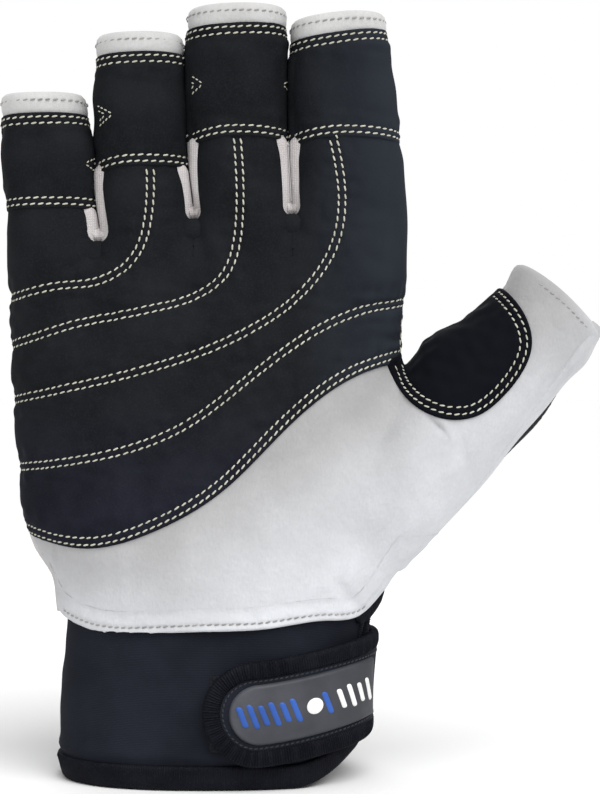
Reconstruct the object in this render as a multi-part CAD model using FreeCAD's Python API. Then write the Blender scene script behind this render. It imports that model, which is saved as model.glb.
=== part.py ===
"""Short-finger sailing glove for the right hand, shown filled out as if worn.

Frame: +Z runs along the fingers, -Y is the palm side, +X is the thumb side.
The origin is the centre of the cuff's bottom rim, which is the face it stands on.
All lengths are millimetres. Every fabric tube is a hollow shell split into its panels.
"""
import FreeCAD
import Part
import math
import os

Vector = FreeCAD.Vector

# Cloth thicknesses
HAND_WALL = 1.6
FINGER_WALL = 1.2
CUFF_WALL = 3.0
LAYER = 1.2
HEM_LAYER = 0.8
TAPE = 0.8

# Section shape
ROUNDNESS = 2.3
OUTLINE_POINTS = 28
BODY_GAP = 0.4

# Heights along the glove
RIM_BINDING_TOP = 6.5
BAND_BOTTOM = 1.0
HAND_BOTTOM = 40.0
PALM_HEM = (39.0, 45.0)
HAND_TOP = 136.5
STUB_BOTTOM = 121.0

# Cuff stations: height, left edge, right edge, reach to the palm side, reach to the back
CUFF_STATIONS = [
    (0.0, -39.6, 37.0, 26.0, 26.0),
    (20.0, -40.8, 37.2, 26.5, 26.5),
    (HAND_BOTTOM, -40.8, 40.0, 26.0, 26.0),
]

# Hand stations, in the same order
HAND_STATIONS = [
    (HAND_BOTTOM, -40.8, 40.0, 26.0, 26.0),
    (50.0, -42.8, 44.6, 26.0, 25.6),
    (64.0, -49.2, 49.6, 25.2, 23.4),
    (90.0, -52.6, 49.4, 22.0, 20.4),
    (116.0, -53.9, 48.3, 17.6, 17.2),
    (HAND_TOP, -54.5, 48.4, 13.6, 13.8),
]

# The thumb leaves the palm at this angle from the fingers
THUMB_LEAN = math.radians(36.0)
THUMB_ALONG = Vector(math.sin(THUMB_LEAN), 0, math.cos(THUMB_LEAN))
THUMB_ACROSS = Vector(math.cos(THUMB_LEAN), 0, -math.sin(THUMB_LEAN))
THUMB_JOINT = 114.0
THUMB_END = 152.0
THUMB_HEM = 4.6

# Thumb stations: distance along, centre across, half width, reach to the palm side, to the back
THUMB_ROOT_STATIONS = [
    (68.0, -8.0, 10.0, 14.0, 12.0),
    (78.0, -6.5, 14.5, 20.0, 18.0),
    (90.0, -6.2, 16.4, 22.0, 19.0),
    (102.0, -6.0, 17.4, 21.0, 18.0),
    (THUMB_JOINT, -5.0, 17.1, 18.6, 16.6),
]
THUMB_STATIONS = [
    (THUMB_JOINT + BODY_GAP, -5.0, 17.1, 18.6, 16.6),
    (125.0, -3.8, 16.4, 16.4, 15.4),
    (137.0, -1.6, 14.6, 14.2, 14.2),
    (THUMB_END, -0.4, 13.4, 12.6, 12.6),
]

# Fingers: root and tip (across, height), half widths, half depths, and the span of the black wrap
FINGERS = {
    "little": dict(root=(-43.2, 137.5), tip=(-44.9, 175.5), widths=(10.2, 9.9),
                   depths=(10.4, 9.4), wrap=(145.7, 170.8)),
    "ring": dict(root=(-19.4, 141.5), tip=(-20.1, 192.0), widths=(10.5, 10.2),
                 depths=(11.6, 10.0), wrap=(156.5, 187.3)),
    "middle": dict(root=(5.3, 144.5), tip=(4.7, 199.5), widths=(11.1, 11.4),
                   depths=(12.0, 10.4), wrap=(163.9, 194.6)),
    "index": dict(root=(33.4, 145.5), tip=(31.1, 197.5), widths=(13.4, 11.0),
                  depths=(11.8, 10.2), wrap=(164.0, 192.4)),
}
FINGER_LEAN = -3.0
FOURCHETTE_HALF = 5.0
TONGUE_INSET = 3.2
WRAP_BACK = 3.0
WEB_HALF = 3.4
WEB_BOTTOM = 127.0

SIDE_PANEL_HALF = 7.0

# Lower edge of the quilted overlay, from the little-finger side to the thumb crotch
OVERLAY_EDGE = [(-60.0, 66.0), (-46.3, 62.0), (-31.7, 59.6), (-14.0, 64.6), (3.6, 75.4),
                (18.8, 90.5), (33.9, 102.0), (47.0, 106.5), (60.0, 108.0)]

# Lower edge of the crotch patch, from the palm up along the thumb
PATCH_EDGE = [(43.1, 107.0), (49.2, 96.3), (59.9, 91.8), (72.1, 97.3), (79.9, 110.6),
              (73.4, 126.3)]

# Slit in the cuff, on the thumb side
SLIT_BAND = (-10.3, -6.2)
SLIT_TAPE = (-9.5, -7.0)
SLIT_TAPE_REACH = 3.0
SLIT_FROM = 20.0

# Closure strap
STRAP_HEIGHT = 26.0
STRAP_TIP = -2.7
STRAP_TIP_HEIGHT = 18.9
STRAP_RISE = math.radians(5.0)
STRAP_HINGE_Y = -3.6
STRAP_EDGE_WIDTH = 4.6
STRAP_HOOK = (1.0, 1.7)
STRAP_BAND = (1.7, 3.1)
STRAP_EDGE = (1.2, 3.8)
STRAP_BADGE = (3.1, 4.4)
BADGE_HEIGHT = 14.6
BADGE_TIP = 3.8
LOOP_LAYER = 0.6
BIG = 200.0

# Solids smaller than this, in cubic millimetres, are offcuts of the splitting planes
CRUMB = 8.0


def box(x, y, z):
    """A block between three (low, high) pairs."""
    size = [high - low for low, high in (x, y, z)]
    return Part.makeBox(size[0], size[1], size[2], Vector(x[0], y[0], z[0]))


def section(centre, across, half_width, front, back):
    """A closed rounded-oblong outline about centre, in the plane of across and Y."""
    points = []
    for i in range(OUTLINE_POINTS):
        angle = 2 * math.pi * (i + 0.5) / OUTLINE_POINTS
        cos, sin = math.cos(angle), math.sin(angle)
        along = half_width * math.copysign(abs(cos) ** (2 / ROUNDNESS), cos)
        reach = back if sin > 0 else front
        deep = reach * math.copysign(abs(sin) ** (2 / ROUNDNESS), sin)
        points.append(centre + across * along + Vector(0, deep, 0))
    curve = Part.BSplineCurve()
    curve.interpolate(Points=points, PeriodicFlag=True)
    return Part.Wire([curve.toShape()])


def upright_loft(stations, grow):
    """A solid through level stations, each outline grown outwards by grow."""
    wires = []
    for height, left, right, front, back in stations:
        centre = Vector((left + right) / 2, 0, height)
        half = (right - left) / 2 + grow
        wires.append(section(centre, Vector(1, 0, 0), half, front + grow, back + grow))
    return Part.makeLoft(wires, True, False)


def thumb_point(along, across, y=0.0):
    """A point given by its distance along and across the thumb."""
    return THUMB_ALONG * along + THUMB_ACROSS * across + Vector(0, y, 0)


def thumb_loft(stations, grow):
    """A solid through stations square to the thumb, each grown outwards by grow."""
    wires = []
    for along, across, half, front, back in stations:
        centre = thumb_point(along, across)
        wires.append(section(centre, THUMB_ACROSS, half + grow, front + grow, back + grow))
    return Part.makeLoft(wires, True, False)


def thumb_slab(low, high):
    """All space between two distances along the thumb."""
    slab = Part.makeBox(2 * BIG, 2 * BIG, high - low, Vector(-BIG, -BIG, low))
    slab.rotate(Vector(0, 0, 0), Vector(0, 1, 0), math.degrees(THUMB_LEAN))
    return slab


def finger_centre(finger, height):
    """The middle of a finger at a height, extended straight beyond its ends."""
    (root_x, root_z), (tip_x, tip_z) = finger["root"], finger["tip"]
    part = (height - root_z) / (tip_z - root_z)
    return Vector(root_x + part * (tip_x - root_x), part * FINGER_LEAN, height), part


def finger_loft(finger, low, high, grow):
    """A straight tapering solid finger between two heights, grown outwards by grow."""
    wires = []
    for height in (low, high):
        centre, part = finger_centre(finger, height)
        widths, depths = finger["widths"], finger["depths"]
        half = widths[0] + part * (widths[1] - widths[0]) + grow
        deep = depths[0] + part * (depths[1] - depths[0]) + grow
        wires.append(section(centre, Vector(1, 0, 0), half, deep, deep))
    return Part.makeLoft(wires, True, False)


def solids_of(shape):
    """The shape's solids as one clean compound, leaving out crumbs."""
    solids = [s for s in shape.Solids if s.Volume > CRUMB]
    if len(solids) == 1:
        return solids[0]
    return Part.makeCompound(solids)


def save(shape, node):
    """Write one sub-part."""
    shape = solids_of(shape)
    if not shape.Solids or not shape.isValid():
        print("check", node, "solids", len(shape.Solids), "valid", shape.isValid())
    shape.exportStep("parts/" + node + ".step")


def prism(points, closing, depth):
    """A block cut to an outline: a smooth curve through points, closed by straight runs."""
    curve = Part.BSplineCurve()
    curve.interpolate([Vector(x, depth[0], z) for x, z in points])
    corners = [points[-1]] + closing + [points[0]]
    edges = [curve.toShape()]
    for start, end in zip(corners, corners[1:]):
        a, b = Vector(start[0], depth[0], start[1]), Vector(end[0], depth[0], end[1])
        edges.append(Part.makeLine(a, b))
    face = Part.Face(Part.Wire(edges))
    return face.extrude(Vector(0, depth[1] - depth[0], 0))


def hand_outer(grow):
    """The outside of the hand: palm, thumb root and finger stubs, grown by grow."""
    shape = upright_loft(HAND_STATIONS, grow)
    shape = shape.fuse(thumb_loft(THUMB_ROOT_STATIONS, grow))
    for finger in FINGERS.values():
        shape = shape.fuse(finger_loft(finger, STUB_BOTTOM, finger["root"][1], grow))
    return shape


def hand_cavity():
    """The space inside the hand, open to the cuff, the fingers and the thumb."""
    roof = box((-BIG, BIG), (-BIG, BIG), (0, HAND_TOP - HAND_WALL))
    shape = upright_loft(HAND_STATIONS, -HAND_WALL).common(roof)
    shape = shape.fuse(thumb_loft(THUMB_ROOT_STATIONS, -HAND_WALL))
    for finger in FINGERS.values():
        shape = shape.fuse(finger_loft(finger, STUB_BOTTOM + 1, finger["root"][1], -FINGER_WALL))
    return shape


def make_hand(outer):
    """The hand's panels: palm, back, side gusset and the three webs between the fingers."""
    shell = outer.cut(hand_cavity())
    names = list(FINGERS)
    for first, second in zip(names, names[1:]):
        a, b = FINGERS[first], FINGERS[second]
        middle = (a["root"][0] + a["widths"][0] + b["root"][0] - b["widths"][0]) / 2
        region = box((middle - WEB_HALF, middle + WEB_HALF), (-BIG, BIG), (WEB_BOTTOM, BIG))
        save(shell.common(region), "web_" + first + "_" + second)
        shell = shell.cut(region)
    side = box((-BIG, -30), (-SIDE_PANEL_HALF, SIDE_PANEL_HALF), (0, BIG))
    save(shell.common(side), "side_panel")
    shell = shell.cut(side)
    front = box((-BIG, BIG), (-BIG, 0), (-BIG, BIG))
    save(shell.common(front), "palm_panel")
    save(shell.cut(front), "back_panel")


def make_overlay(outer):
    """The quilted second layer on the palm, up to the finger roots."""
    skin = upright_loft(HAND_STATIONS, LAYER)
    for finger in FINGERS.values():
        skin = skin.fuse(finger_loft(finger, STUB_BOTTOM, finger["root"][1], LAYER))
    skin = skin.cut(outer)
    closing = [(60, 160), (-60, 160)]
    region = prism(OVERLAY_EDGE, closing, (-60, -1.5))
    slots = crotch_region()
    names = list(FINGERS)
    for first, second in zip(names, names[1:]):
        a, b = FINGERS[first], FINGERS[second]
        middle = (a["root"][0] + a["widths"][0] + b["root"][0] - b["widths"][0]) / 2
        slots = slots.fuse(box((middle - WEB_HALF, middle + WEB_HALF), (-BIG, BIG), (134, BIG)))
    save(skin.common(region).cut(slots), "palm_overlay")


def crotch_region():
    """The outline of the crotch patch, right through the glove."""
    closing = [(60, 140), (43.1, 125)]
    return prism(PATCH_EDGE, closing, (-60, 12))


def make_crotch_patch(outer):
    """The part of the crotch patch that lies on the hand."""
    skin = thumb_loft(THUMB_ROOT_STATIONS, LAYER).fuse(upright_loft(HAND_STATIONS, LAYER))
    skin = skin.cut(outer).cut(thumb_slab(THUMB_JOINT, THUMB_JOINT + 100))
    save(skin.common(crotch_region()), "crotch_patch")


def make_palm_hem(outer, tab):
    """The turned and stitched hem where the suede ends over the cuff."""
    skin = upright_loft(HAND_STATIONS, HEM_LAYER).cut(outer)
    band = box((-BIG, BIG), (-BIG, BIG), (HAND_BOTTOM, PALM_HEM[1]))
    save(skin.common(band).cut(tab), "palm_hem")


def make_finger(name, finger):
    """One finger: a tube of front, back and side strips, with its tongue, wrap and hem."""
    low, high = finger["root"][1] + BODY_GAP, finger["tip"][1]
    outer = finger_loft(finger, low, high, 0)
    shell = outer.cut(finger_loft(finger, low, high, -FINGER_WALL))
    middle = box((-BIG, BIG), (-FOURCHETTE_HALF, FOURCHETTE_HALF), (0, BIG))
    ahead = box((-BIG, BIG), (-BIG, 0), (0, BIG))
    save(shell.common(middle), name + "_fourchettes")
    walls = shell.cut(middle)
    save(walls.common(ahead), name + "_front")
    save(walls.cut(ahead), name + "_back")
    skin = finger_loft(finger, low, high, LAYER).cut(outer)
    wrap_low, wrap_high = finger["wrap"]
    reach = finger["widths"][0] - TONGUE_INSET
    across = (finger["root"][0] - reach, finger["root"][0] + reach)
    save(skin.common(box(across, (-BIG, 0), (0, wrap_low))), name + "_tongue")
    save(skin.common(box((-BIG, BIG), (-BIG, WRAP_BACK), (wrap_low, wrap_high))), name + "_wrap")
    hem = finger_loft(finger, low, high, HEM_LAYER).cut(outer)
    save(hem.common(box((-BIG, BIG), (-BIG, BIG), (wrap_high, high))), name + "_hem")


def make_thumb():
    """The thumb stall: front and back panels, patch, side seam strip and hem."""
    outer = thumb_loft(THUMB_STATIONS, 0)
    shell = outer.cut(thumb_loft(THUMB_STATIONS, -HAND_WALL))
    ahead = box((-BIG, BIG), (-BIG, 0), (0, BIG))
    save(shell.common(ahead), "thumb_front")
    save(shell.cut(ahead), "thumb_back")
    skin = thumb_loft(THUMB_STATIONS, LAYER).cut(outer)
    hem_region = thumb_slab(THUMB_END - THUMB_HEM, THUMB_END)
    save(skin.common(crotch_region()).cut(hem_region), "thumb_patch")
    save(thumb_loft(THUMB_STATIONS, HEM_LAYER).cut(outer).common(hem_region), "thumb_hem")
    strip = box((88, BIG), (-2.4, 2.4), (0, BIG)).cut(hem_region)
    save(skin.common(strip), "thumb_seam_strip")


def cuff_shell(inside, outside):
    """The layer of space between two distances from the cuff's outer face."""
    return upright_loft(CUFF_STATIONS, outside).cut(upright_loft(CUFF_STATIONS, inside))


def make_cuff():
    """Neoprene band with its slit, rim binding, slit binding and closure loop field."""
    slit = box((SLIT_FROM, BIG), SLIT_BAND, (-BIG, BIG))
    opening = box((SLIT_FROM, BIG), SLIT_TAPE, (-BIG, BIG))
    band = cuff_shell(-CUFF_WALL, 0).common(box((-BIG, BIG), (-BIG, BIG), (BAND_BOTTOM, BIG)))
    band = band.cut(slit)
    save(band, "cuff_band")
    tape = cuff_shell(-CUFF_WALL - TAPE, TAPE)
    lips = box((SLIT_FROM, BIG), (SLIT_TAPE[0] - SLIT_TAPE_REACH, SLIT_TAPE[1] + SLIT_TAPE_REACH),
               (RIM_BINDING_TOP, BIG))
    save(tape.common(lips).cut(opening).cut(band), "slit_binding")
    rim = box((-BIG, BIG), (-BIG, BIG), (-1, RIM_BINDING_TOP))
    save(tape.common(rim).cut(opening).cut(band), "cuff_binding")
    field = box((-10, 28), (-BIG, 0), (9, 29))
    save(cuff_shell(0, LOOP_LAYER).common(field), "loop_field")


def strap_outline(inset, tip, height):
    """The strap's face: a rounded tip and two edges that rise towards the thumb side."""
    half = height / 2 - inset
    middle = Vector(tip + inset + half, -60, STRAP_TIP_HEIGHT)
    along = Vector(math.cos(STRAP_RISE), 0, math.sin(STRAP_RISE))
    up = Vector(-math.sin(STRAP_RISE), 0, math.cos(STRAP_RISE))
    far = along * 80
    arc = Part.Arc(middle + up * half, middle - along * half, middle - up * half).toShape()
    edges = [arc,
             Part.makeLine(middle - up * half, middle - up * half + far),
             Part.makeLine(middle - up * half + far, middle + up * half + far),
             Part.makeLine(middle + up * half + far, middle + up * half)]
    return Part.Face(Part.Wire(edges)).extrude(Vector(0, 120, 0))


def make_strap():
    """The closure strap, from its sewn root on the back to its rounded tip on the palm side."""
    free = box((-BIG, BIG), (-BIG, STRAP_HINGE_Y - BODY_GAP / 2), (-BIG, BIG))
    whole = strap_outline(0, STRAP_TIP, STRAP_HEIGHT)
    inner = strap_outline(STRAP_EDGE_WIDTH, STRAP_TIP, STRAP_HEIGHT)
    save(cuff_shell(*STRAP_BAND).common(inner).common(free), "strap_band")
    save(cuff_shell(*STRAP_EDGE).common(whole.cut(inner)).common(free), "strap_edge")
    hook = inner.common(box((-BIG, 24), (-BIG, 0), (-BIG, BIG)))
    save(cuff_shell(*STRAP_HOOK).common(hook), "strap_hook_pad")
    badge = strap_outline(0, BADGE_TIP, BADGE_HEIGHT).common(box((-BIG, 36.5), (-BIG, 0), (-BIG, BIG)))
    save(cuff_shell(*STRAP_BADGE).common(badge), "strap_badge")
    behind = box((12, BIG), (STRAP_HINGE_Y + BODY_GAP / 2, BIG), (-BIG, BIG))
    level = strap_outline(0, STRAP_TIP, STRAP_HEIGHT)
    save(cuff_shell(0, STRAP_BAND[1]).common(level).common(behind), "strap_anchor")


def pull_tab_region():
    """Where the folded tape end stands proud at the top of the slit."""
    return box((30, BIG), (SLIT_TAPE[0] - 4, SLIT_TAPE[1] + 1), (HAND_BOTTOM, PALM_HEM[1] + 2))


def make_pull_tab():
    """The folded end of the slit binding, used as a pull tab."""
    layer = upright_loft(HAND_STATIONS, 2.8).cut(upright_loft(HAND_STATIONS, 0.2))
    save(layer.common(pull_tab_region()).cut(thumb_loft(THUMB_ROOT_STATIONS, 0.2)), "pull_tab")


def main():
    """Build every sub-part."""
    os.makedirs("parts", exist_ok=True)
    outer = hand_outer(0)
    make_hand(outer)
    make_overlay(outer)
    make_crotch_patch(outer)
    make_palm_hem(outer, pull_tab_region())
    for name, finger in FINGERS.items():
        make_finger(name, finger)
    make_thumb()
    make_cuff()
    make_strap()
    make_pull_tab()


main()
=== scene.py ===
"""The looks of a short-finger sailing glove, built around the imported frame.

Lengths in this file are millimetres until a mesh is made, where MM turns them into metres.
The glove's outside is the zero level of one smooth distance field (hand, fingers and thumb).
Each panel is that surface cut to the panel's outline and given its own thickness and edge.
"""
import bpy
import math
import numpy as np
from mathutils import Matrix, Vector
from mathutils.kdtree import KDTree


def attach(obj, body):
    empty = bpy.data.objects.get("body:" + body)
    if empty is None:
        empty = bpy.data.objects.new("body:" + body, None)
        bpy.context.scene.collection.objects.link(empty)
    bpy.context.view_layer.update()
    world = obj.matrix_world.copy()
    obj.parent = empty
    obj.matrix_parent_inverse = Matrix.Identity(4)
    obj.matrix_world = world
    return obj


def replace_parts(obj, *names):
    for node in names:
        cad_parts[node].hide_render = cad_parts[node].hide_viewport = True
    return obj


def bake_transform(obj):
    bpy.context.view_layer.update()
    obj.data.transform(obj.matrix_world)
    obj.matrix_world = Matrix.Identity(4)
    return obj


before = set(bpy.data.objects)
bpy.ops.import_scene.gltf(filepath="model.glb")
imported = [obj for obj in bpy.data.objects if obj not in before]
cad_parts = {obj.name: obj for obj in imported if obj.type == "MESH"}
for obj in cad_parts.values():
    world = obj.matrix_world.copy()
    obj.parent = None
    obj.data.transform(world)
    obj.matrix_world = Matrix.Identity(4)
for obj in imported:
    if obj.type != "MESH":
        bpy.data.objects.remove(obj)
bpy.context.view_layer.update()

MM = 0.001
LAYER = 1.2        # thickness of a sewn-on layer
LINING = 1.3       # how far the hand's cloth reaches inwards
SPLIT = 133.0      # height where the fingers part from the hand
RIB_PITCH = 0.62   # spacing of the overlock ribs on the tapes
FINGER_NAMES = ["little", "ring", "middle", "index"]


# ---------------------------------------------------------------- small maths

def curve_through(points):
    """A natural cubic spline through (x, y) points, straight beyond its ends."""
    xs, ys = (np.array(v, float) for v in zip(*points))
    n = len(xs)
    h = np.diff(xs)
    system = np.eye(n)
    right = np.zeros(n)
    for i in range(1, n - 1):
        system[i, i - 1:i + 2] = h[i - 1], 2 * (h[i - 1] + h[i]), h[i]
        right[i] = 6 * ((ys[i + 1] - ys[i]) / h[i] - (ys[i] - ys[i - 1]) / h[i - 1])
    bend = np.linalg.solve(system, right)

    def value(x):
        x = np.asarray(x, float)
        inside = np.clip(x, xs[0], xs[-1])
        i = np.clip(np.searchsorted(xs, inside) - 1, 0, n - 2)
        a, b = xs[i + 1] - inside, inside - xs[i]
        y = (bend[i] * a ** 3 + bend[i + 1] * b ** 3) / (6 * h[i])
        y += (ys[i] / h[i] - bend[i] * h[i] / 6) * a
        y += (ys[i + 1] / h[i] - bend[i + 1] * h[i] / 6) * b
        return y

    return value


def ease(x, low, high):
    """0 below low, 1 above high, smooth between."""
    t = np.clip((np.asarray(x, float) - low) / (high - low), 0, 1)
    return t * t * (3 - 2 * t)


def smooth_min(a, b, k):
    """The smaller of two distances, rounded where they are within k of each other."""
    h = np.clip(k - np.abs(a - b), 0, None) / k
    return np.minimum(a, b) - h * h * k / 4


def bell(x, width):
    """1 at zero, falling to nothing over a few widths."""
    return np.exp(-(np.asarray(x) / width) ** 2)


def unit(vectors):
    """Rows of vectors made one long."""
    return vectors / np.linalg.norm(vectors, axis=1)[:, None]


def lengths_along(points):
    """How far along a line each of its points lies."""
    return np.concatenate([[0], np.cumsum(np.linalg.norm(np.diff(points, axis=0), axis=1))])


def closed_turn(count):
    """Angles once round, without the last."""
    return np.linspace(0, 2 * math.pi, count, endpoint=False)


class Waves:
    """Soft random ripples: a sum of sine waves in random directions, the same on every run."""

    def __init__(self, seed, wavelength, count=14):
        random = np.random.RandomState(seed)
        direction = unit(random.normal(size=(count, 3)))
        stretch = random.uniform(0.7, 1.5, count)
        self.waves = direction * (2 * math.pi / wavelength * stretch)[:, None]
        self.phase = random.uniform(0, 2 * math.pi, count)

    def __call__(self, points):
        total = np.sin(points @ self.waves.T + self.phase).sum(axis=1)
        return total / math.sqrt(len(self.phase) / 2)


# ---------------------------------------------------------------- the glove's outside

def oblong(dx, dy, half, deep, power):
    """Distance, near the surface, to a rounded oblong of these half sizes."""
    u = np.clip(np.abs(dx) / half, 1e-3, None)
    v = np.clip(np.abs(dy) / deep, 1e-3, None)
    r = (u ** power + v ** power) ** (1 / power)
    gx = (u / r) ** (power - 1) / half
    gy = (v / r) ** (power - 1) / deep
    return (r - 1) / np.hypot(gx, gy)


class Section:
    """Level outlines of a soft tube: left and right edges, and reach to the palm side and the back."""

    def __init__(self, left, right, front, back, power):
        self.left, self.right = curve_through(left), curve_through(right)
        self.front, self.back = curve_through(front), curve_through(back)
        self.power = power

    def distance(self, x, y, z):
        left, right = self.left(z), self.right(z)
        dx = x - (left + right) / 2
        deep = np.where(y < 0, self.front(z), self.back(z))
        return oblong(dx, y, (right - left) / 2, deep, self.power)


HAND = Section(
    left=[(38, -40.2), (46, -41.2), (52, -42.4), (58, -46.2), (64, -48.4), (80, -50.4),
          (100, -51.8), (120, -52.7), (134, -53.0)],
    right=[(38, 39.0), (44, 41.2), (52, 46.0), (60, 49.0), (76, 49.0), (96, 47.6),
           (108, 46.4), (120, 46.8), (134, 47.6)],
    front=[(38, 25.6), (52, 26.0), (66, 25.0), (84, 22.4), (104, 19.6), (120, 16.8), (134, 14.0)],
    back=[(38, 25.6), (52, 25.4), (66, 24.0), (84, 21.6), (104, 19.0), (120, 16.6), (134, 14.0)],
    power=2.35)


class Finger:
    """One finger stall. Heights are along Z; the stall leans a little towards the palm side."""

    def __init__(self, name, left, right, deep, root, wrap, tip, crown, slant, droop):
        self.name = name
        self.left, self.right = curve_through(left), curve_through(right)
        self.deep = curve_through(deep)
        self.root, self.wrap, self.tip, self.crown = root, wrap, tip, crown
        self.slant, self.droop = slant, droop

    def lean(self, z):
        return -3.0 * np.clip((z - self.root) / (self.tip - self.root), 0, 1.2)

    def middle(self, z):
        return (self.left(z) + self.right(z)) / 2

    def half(self, z):
        return (self.right(z) - self.left(z)) / 2

    def outer(self, u):
        """The side that faces away from the other fingers, u running from -1 to 1 across the finger."""
        return u < -0.3 if self.name == "little" else (u > 0.3) & (self.name == "index")

    def top(self, angles):
        """Height of the opening's rim, round the finger."""
        return self.tip + self.crown * (0.5 - np.cos(angles) ** 2) + self.slant[1] * np.cos(angles)

    def distance(self, x, y, z):
        dx = x - self.middle(z)
        inner = 4.6 - 2.2 * ease(z, SPLIT, self.root + 9)
        outer_left, outer_right = self.name == "little", self.name == "index"
        power = np.where(dx < 0, 2.4 if outer_left else inner, 2.4 if outer_right else inner)
        return oblong(dx, y - self.lean(z), self.half(z), self.deep(z), power)


FINGERS = [
    Finger("little", left=[(112, -52.2), (133, -53.0), (146, -53.6), (171, -54.8), (177, -55.1)],
           right=[(112, -30.3), (133, -30.2), (140, -31.0), (147, -32.0), (157, -32.8),
                  (171, -34.8), (177, -34.9)],
           deep=[(112, 12.6), (133, 11.4), (147, 9.9), (171, 9.2), (177, 9.0)],
           root=137.5, wrap=(145.7, 170.0), tip=175.0, crown=0.0, slant=(0.2, 0.1), droop=(0.1, 0.2)),
    Finger("ring", left=[(112, -30.3), (133, -30.2), (141, -29.8), (150, -30.2), (158, -30.4),
                         (188, -30.4), (193, -30.5)],
           right=[(112, -5.8), (133, -5.8), (143, -6.6), (157, -8.6), (188, -9.8), (193, -9.8)],
           deep=[(112, 14.4), (133, 12.9), (157, 10.6), (188, 9.8), (193, 9.6)],
           root=141.5, wrap=(156.5, 185.4), tip=190.2, crown=0.3, slant=(0.4, 0.2), droop=(1.8, 0.1)),
    Finger("middle", left=[(112, -5.8), (133, -5.8), (144, -5.3), (164, -6.1), (194, -6.9), (200, -6.8)],
           right=[(112, 19.2), (133, 19.2), (144, 18.5), (164, 16.8), (194, 16.6), (200, 16.6)],
           deep=[(112, 15.2), (133, 13.6), (164, 11.0), (194, 10.2), (200, 10.0)],
           root=144.5, wrap=(163.9, 192.6), tip=197.4, crown=0.2, slant=(0.6, 0.3), droop=(1.8, 0.6)),
    Finger("index", left=[(112, 19.2), (133, 19.2), (144, 19.9), (164, 19.8), (193, 19.8), (198, 19.8)],
           right=[(112, 46.6), (133, 47.5), (146, 47.6), (156, 47.0), (166, 45.6),
                  (182, 43.6), (198, 42.0)],
           deep=[(112, 14.6), (133, 13.2), (164, 10.9), (193, 10.0), (198, 9.9)],
           root=145.5, wrap=(163.8, 190.4), tip=195.1, crown=0.4, slant=(1.6, 1.0), droop=(2.0, 0.9)),
]


class Web:
    """Where two fingers part: the line between them, and the U that shows the white side strips."""

    def __init__(self, line, bottom, half, closed):
        self.line, self.bottom, self.half, self.closed = curve_through(line), bottom, half, closed

    def melt(self, z):
        """How far the two fingers still melt into each other at a height."""
        return 0.25 + 9.0 * (1 - ease(z, self.bottom - 9, self.bottom + 1.5))

    def clear(self, x, z):
        """Distance outside the rounded U."""
        dx = np.abs(x - self.line(z))
        centre = self.bottom + self.half
        low = np.hypot(dx, z - centre) - self.half
        return np.where(z < centre, low, dx - self.half)


WEBS = [
    Web(line=[(133, -30.2), (140, -30.3), (147, -31.3), (171, -32.7)],
        bottom=136.8, half=3.0, closed=161),
    Web(line=[(133, -5.8), (143, -5.9), (157, -7.5), (188, -8.4)], bottom=142.6, half=2.4, closed=190),
    Web(line=[(133, 19.2), (144, 19.2), (164, 18.2), (195, 18.2)], bottom=143.8, half=2.6, closed=187),
]

THUMB_LEAN = math.radians(36.0)
THUMB_ALONG = np.array([math.sin(THUMB_LEAN), 0, math.cos(THUMB_LEAN)])
THUMB_ACROSS = np.array([math.cos(THUMB_LEAN), 0, -math.sin(THUMB_LEAN)])
THUMB = Section(
    left=[(68, -18), (78, -20.6), (90, -22.2), (102, -22.2), (114, -20.8), (125, -19.0),
          (137, -15.2), (146, -14.0), (154, -13.8)],
    right=[(68, 3), (78, 8.2), (90, 10.2), (102, 11.6), (114, 12.0), (125, 12.7),
           (137, 12.9), (146, 13.2), (154, 12.8)],
    front=[(68, 14), (78, 20), (90, 21.5), (102, 20.2), (114, 17.8), (125, 15.6), (137, 13.8),
           (154, 12.2)],
    back=[(68, 12), (78, 18), (90, 19), (102, 17.8), (114, 16.2), (125, 15.0), (137, 13.8),
          (154, 12.4)],
    power=2.15)
THUMB_ROOT, THUMB_END = 64.0, 153.0   # where along it the thumb starts and ends


def thumb_axes(x, z):
    """Distance along and across the thumb."""
    along = x * THUMB_ALONG[0] + z * THUMB_ALONG[2]
    across = x * THUMB_ACROSS[0] + z * THUMB_ACROSS[2]
    return along, across


def lobes(x, y, z):
    """The four fingers, melted together below their webs."""
    total = FINGERS[0].distance(x, y, z)
    for finger, web in zip(FINGERS[1:], WEBS):
        total = smooth_min(total, finger.distance(x, y, z), web.melt(z))
    return total


# Folds of the palm: from (x, z), to (x, z), width and height.
FOLDS = [
    (-46, 52, -40, 47, 1.6, -0.7), (-40.4, 62, -40, 54, 1.0, -0.8), (46, 94, 38, 80, 2.2, -0.55),
    (52, 90, 47, 72, 2.6, 0.5), (58, 88, 55, 70, 2.4, -0.45), (36, 44, 30, 52, 1.6, -0.5),
    (-34, 44, -24, 56, 2.6, -0.35), (4, 44, 10, 58, 3.0, -0.3), (68, 84, 58, 72, 2.6, -0.4),
    (-30, 133, -40, 128, 2.0, -0.7), (-30, 132, -17, 128, 2.2, -0.5), (-6, 139, -15, 129, 2.2, -0.8),
    (-6, 139, 3, 130, 2.2, -0.7), (19, 140, 12, 130, 2.4, -0.6), (19, 140, 29, 131, 2.2, -0.6),
    (-48, 106, -36, 103, 3.0, -0.4), (53.5, 92.5, 57.5, 88.5, 0.9, -0.9), (61, 90, 63, 79, 1.6, -0.6),
    (56.5, 91.5, 60.5, 86, 0.9, 0.4), (-47, 90, -30, 92, 3.2, -0.4), (40, 128, 47, 133, 2.4, -0.5),
    (44, 112, 36, 116, 2.4, -0.4),
]


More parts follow.
